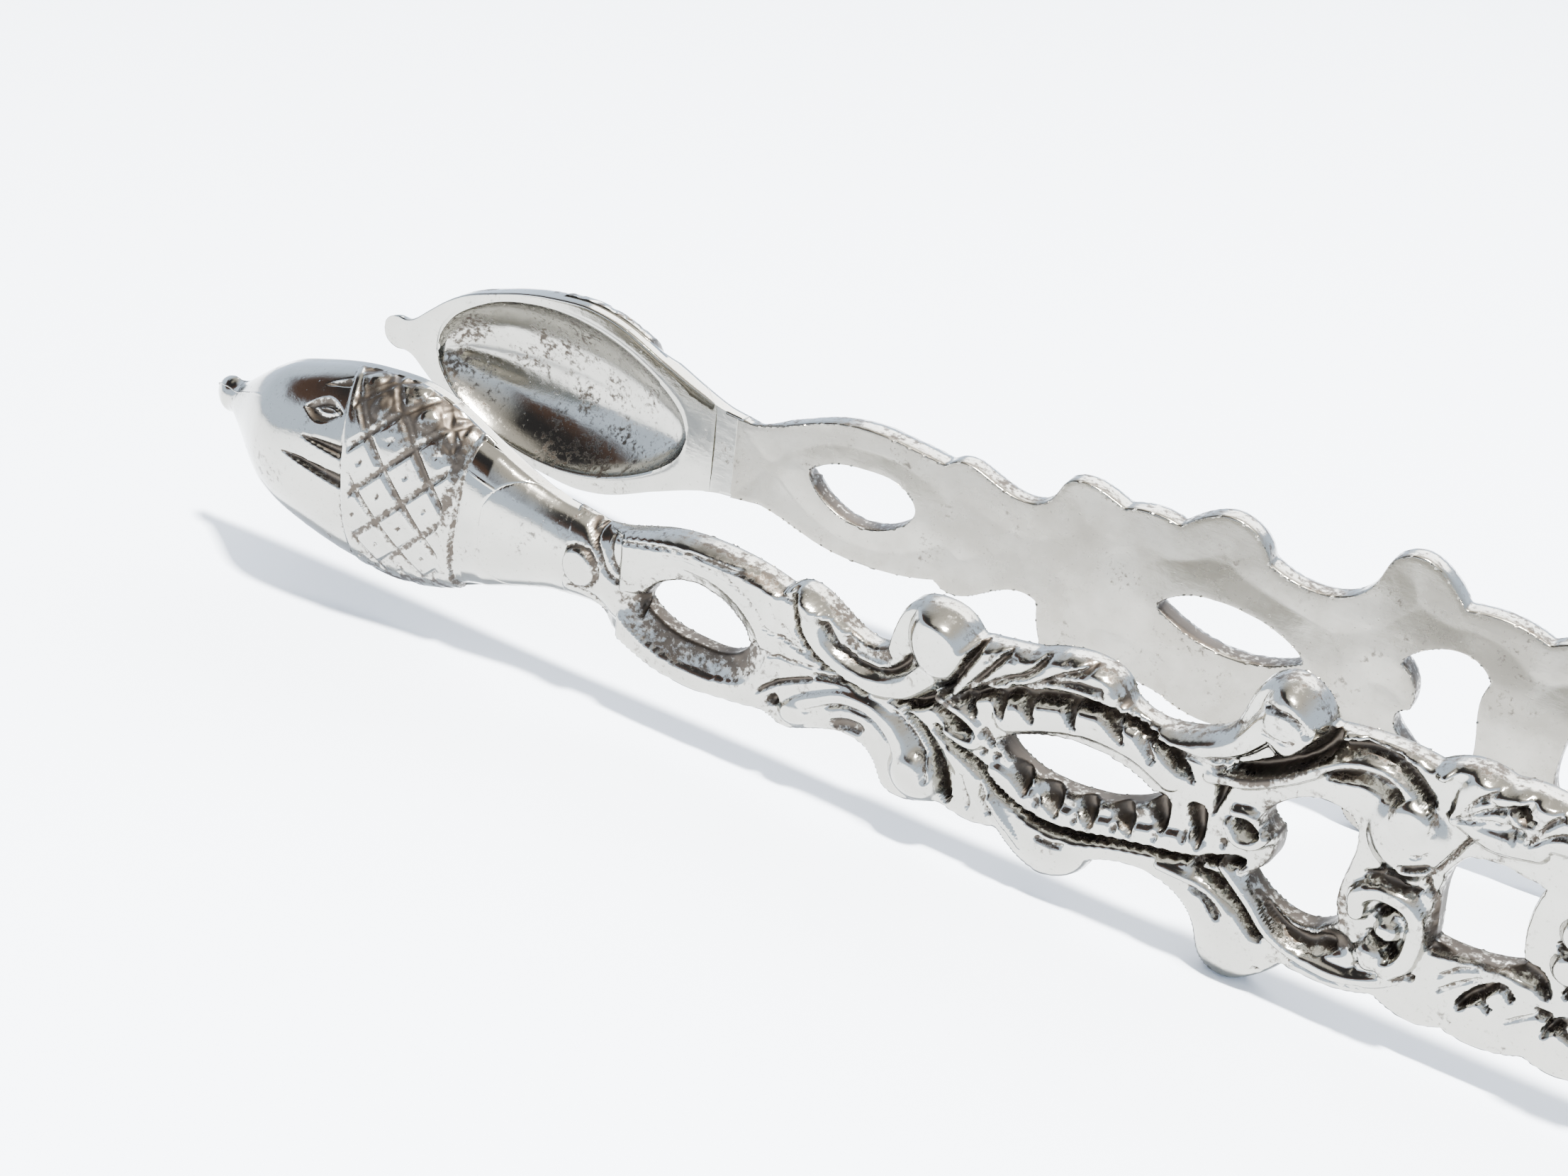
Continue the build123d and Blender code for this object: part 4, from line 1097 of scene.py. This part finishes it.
def silver(name, bright=(0.335, 0.322, 0.285), polish=0.13, tarnish=0.35):
    """Old polished silver: bright metal, dark oxide where the patina and painted shade are high, and a
    painted warm shade on the inner faces.
    """
    made = bpy.data.materials.new(name)
    made.use_nodes = True
    tree = made.node_tree
    shader = tree.nodes["Principled BSDF"]
    place = node(tree, "ShaderNodeTexCoord").outputs["Object"]
    patina_and_shade = node(tree, "ShaderNodeAttribute", attribute_name="patina_and_shade").outputs["Fac"]
    inner = node(tree, "ShaderNodeAttribute", attribute_name="inner").outputs["Fac"]
    broken = noise(tree, place, 2600, 5, 0.65)
    cloudy = noise(tree, place, 260, 4, 0.6)
    specks = noise(tree, place, 5200, 3, 0.7)

    # The patina attribute also carries the acorns' painted shade and reflections, so the dark oxide colour
    # paints them too.
    stains_and_shade = math_node(tree, "ADD", patina_and_shade, ramp(tree, noise(tree, place, 330, 3, 0.55), 0.42, 0.70, 0.0,
                                                  0.36))
    worn_stains_and_shade = math_node(tree, "ADD", stains_and_shade, ramp(tree, broken, 0.3, 0.7, -0.34, 0.34))
    oxide_and_shade = ramp(tree, worn_stains_and_shade, 0.34, 0.80)
    # Painted shade: faces marked as inner are mixed towards a darker warm colour that stands in for the
    # shaded gap between the arms.
    inner_shade = math_node(tree, "MULTIPLY", inner, ramp(tree, cloudy, 0.25, 0.75, 0.55, 1.0))
    speck = math_node(tree, "MULTIPLY", ramp(tree, specks, 0.62, 0.72), 0.6)
    metal = mix_colour(tree, ramp(tree, cloudy, 0.35, 0.75, 0.0, tarnish), bright, (0.225, 0.22, 0.195))
    metal = mix_colour(tree, inner_shade, metal, (0.20, 0.185, 0.155))
    metal = mix_colour(tree, speck, metal, (0.10, 0.09, 0.075))
    colour = mix_colour(tree, oxide_and_shade, metal, (0.055, 0.045, 0.036))
    tree.links.new(colour, shader.inputs["Base Color"])

    rough = math_node(tree, "ADD", ramp(tree, cloudy, 0.3, 0.7, polish, polish + 0.07),
                      math_node(tree, "MULTIPLY", oxide_and_shade, 0.34))
    rough = math_node(tree, "ADD", rough, math_node(tree, "MULTIPLY", inner_shade, 0.16))
    tree.links.new(rough, shader.inputs["Roughness"])
    shader.inputs["Metallic"].default_value = 1.0

    scratches = noise(tree, place, 1500, 3, 0.6, stretch=(0.25, 2.5, 2.5))
    pits = ramp(tree, noise(tree, place, 3400, 2, 0.5), 0.30, 0.24)
    relief = math_node(tree, "ADD", math_node(tree, "MULTIPLY", scratches, 0.25),
                       math_node(tree, "MULTIPLY", broken, 0.5))
    relief = math_node(tree, "SUBTRACT", relief, math_node(tree, "MULTIPLY", pits, 0.7))
    waves = noise(tree, place, 420, 2, 0.5)
    relief = math_node(tree, "ADD", relief, math_node(tree, "MULTIPLY", waves, 2.2))
    bumped = node(tree, "ShaderNodeBump")
    bumped.inputs["Strength"].default_value = 0.22
    bumped.inputs["Distance"].default_value = 0.00006
    tree.links.new(relief, bumped.inputs["Height"])
    tree.links.new(bumped.outputs["Normal"], shader.inputs["Normal"])
    return made


arm_silver = silver("arm_silver", polish=0.10)
acorn_silver = silver("acorn_silver", polish=0.065)
bow_silver = silver("bow_silver", polish=0.10)
seam_silver = silver("seam_silver", polish=0.12)


# ---------------------------------------------------------------- the pieces

arm_points, arm_faces, arm_patina, arm_inner_shade = arm_mesh()
neck_points, neck_faces = neck_mesh()
acorn_points, acorn_faces, acorn_patina_and_shade, acorn_inner_shade = acorn_mesh()
bow_points, bow_faces = bow_mesh()

for side in ("front", "rear"):
    joined = bent(np.vstack([arm_points, neck_points]), side)
    shift = len(arm_points)
    faces = arm_faces + [tuple(v + shift for v in face) for face in neck_faces]
    values = {"patina_and_shade": np.concatenate([arm_patina, np.zeros(len(neck_points))]),
              "inner": np.concatenate([arm_inner_shade, np.zeros(len(neck_points))])}
    arm = make_object(f"{side}_openwork_arm", to_row(joined[:, 0], joined[:, 1], joined[:, 2], side), faces,
                      side, [f"{side}_arm"], arm_silver, values)
    bowl = bent(acorn_points, side)
    # The front acorn's hollow gets the full painted shade and the rear one's a quarter of it.
    acorn = make_object(f"{side}_acorn", to_row(bowl[:, 0], bowl[:, 1], bowl[:, 2], side),
                        acorn_faces, side, [f"{side}_acorn_bowl"], acorn_silver,
                        {"patina_and_shade": acorn_patina_and_shade, "inner": acorn_inner_shade * (1.0 if side == "front" else 0.25)})
    half = make_object(f"{side}_bow_half", to_row(bow_points[:, 0], bow_points[:, 1], bow_points[:, 2], side),
                       bow_faces, None, ["spring_bow"], bow_silver,
                       {"patina_and_shade": np.zeros(len(bow_points)), "inner": np.zeros(len(bow_points))})
    for piece in (arm, acorn, half):
        weld_and_face_out(piece)
    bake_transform(half)
    for seam in (f"{side}_neck_solder", f"{side}_bow_solder"):
        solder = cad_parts[seam]
        solder.data.materials.clear()
        solder.data.materials.append(seam_silver)


# ---------------------------------------------------------------- floor, light and camera

def floor_height(x, y):
    """The table, in millimetres: the tongs lie on a lobe of each arm and on the bow's near edge."""
    return 0.83 + 0.0079 * x - 0.0843 * y


FLOOR_HALF = 3000.0
corners = [(-FLOOR_HALF, -FLOOR_HALF), (FLOOR_HALF, -FLOOR_HALF), (FLOOR_HALF, FLOOR_HALF),
           (-FLOOR_HALF, FLOOR_HALF)]
floor_data = bpy.data.meshes.new("floor")
floor_data.from_pydata([(x * MM, y * MM, (floor_height(x, y) - 0.05) * MM) for x, y in corners], [],
                       [(0, 1, 2, 3)])
floor = bpy.data.objects.new("floor", floor_data)
bpy.context.scene.collection.objects.link(floor)
paper = bpy.data.materials.new("paper")
paper.use_nodes = True
paper.node_tree.nodes["Principled BSDF"].inputs["Base Color"].default_value = (0.80, 0.855, 0.94, 1)
paper.node_tree.nodes["Principled BSDF"].inputs["Roughness"].default_value = 0.9
floor_data.materials.append(paper)


WORLD_COLOUR, WORLD_STRENGTH = (0.64, 0.78, 1.0), 2.8
CEILING_COLOUR = (0.53, 0.51, 0.47)
WALL_COLOURS = ((0.085, 0.055, 0.045), (0.03, 0.03, 0.033))


def studio_world():
    """Pale surroundings with one dark wall, at middling heights towards the acorns."""
    world = bpy.data.worlds.new("studio")
    bpy.context.scene.world = world
    world.use_nodes = True
    tree = world.node_tree
    direction = node(tree, "ShaderNodeTexCoord").outputs["Generated"]
    parts = node(tree, "ShaderNodeSeparateXYZ")
    tree.links.new(direction, parts.inputs[0])
    low = ramp(tree, parts.outputs["Z"], 0.38, 0.48)
    high = ramp(tree, parts.outputs["Z"], 0.84, 0.95, 1.0, 0.0)
    left = ramp(tree, parts.outputs["X"], -0.25, 0.15, 1.0, 0.0)
    near = ramp(tree, parts.outputs["Y"], 0.1, 0.45, 1.0, 0.0)
    wall = math_node(tree, "MULTIPLY", math_node(tree, "MULTIPLY", low, high),
                     math_node(tree, "MULTIPLY", left, near))
    tone = mix_colour(tree, ramp(tree, parts.outputs["Z"], 0.5, 0.7), WALL_COLOURS[0], WALL_COLOURS[1])
    overhead = mix_colour(tree, ramp(tree, parts.outputs["Z"], 0.40, 0.90), WORLD_COLOUR, CEILING_COLOUR)
    colour = mix_colour(tree, wall, overhead, tone)
    tree.links.new(colour, tree.nodes["Background"].inputs["Color"])
    tree.nodes["Background"].inputs["Strength"].default_value = WORLD_STRENGTH


studio_world()


def area_light(name, place, target, size, power, colour=(1, 1, 1)):
    data = bpy.data.lights.new(name, "AREA")
    data.shape = "RECTANGLE"
    data.size, data.size_y = size
    data.energy = power
    data.color = colour
    light = bpy.data.objects.new(name, data)
    bpy.context.scene.collection.objects.link(light)
    light.location = place
    light.rotation_mode = "QUATERNION"
    light.rotation_quaternion = (Vector(target) - Vector(place)).to_track_quat("-Z", "Y")


area_light("key", (0.08, -0.055, 0.56), (0, 0, 0.01), (0.05, 0.05), 25.0, (1.0, 0.98, 0.94))
area_light("back_softbox", (-0.05, 0.42, 0.30), (0, 0, 0.01), (0.5, 0.3), 5.0)

VIEW_AZIMUTH, VIEW_ELEVATION, VIEW_ROLL = 28.86, 28.59, 6.37
VIEW_DISTANCE = 164.96
VIEW_TARGET = (ORIGIN_X + 39.18, 0.0, CENTRE - 2.705)
FOCAL_WIDTHS = 3700 / 2212  # focal length over the picture's width

a, e, r = (math.radians(v) for v in (VIEW_AZIMUTH, VIEW_ELEVATION, VIEW_ROLL))
back = Vector((math.sin(a) * math.cos(e), -math.cos(a) * math.cos(e), math.sin(e)))
right = Vector((math.cos(a), math.sin(a), 0))
up = back.cross(right)
turned_right = math.cos(r) * right + math.sin(r) * up
turned_up = -math.sin(r) * right + math.cos(r) * up
camera_data = bpy.data.cameras.new("camera")
camera_data.sensor_width = 36.0
camera_data.lens = 36.0 * FOCAL_WIDTHS
camera_data.clip_start, camera_data.clip_end = 0.001, 20
camera = bpy.data.objects.new("camera", camera_data)
bpy.context.scene.collection.objects.link(camera)
camera.rotation_mode = "QUATERNION"
camera.rotation_quaternion = Matrix((turned_right, turned_up, back)).transposed().to_quaternion()
camera.location = (Vector(VIEW_TARGET) + back * VIEW_DISTANCE) * MM
bpy.context.scene.camera = camera
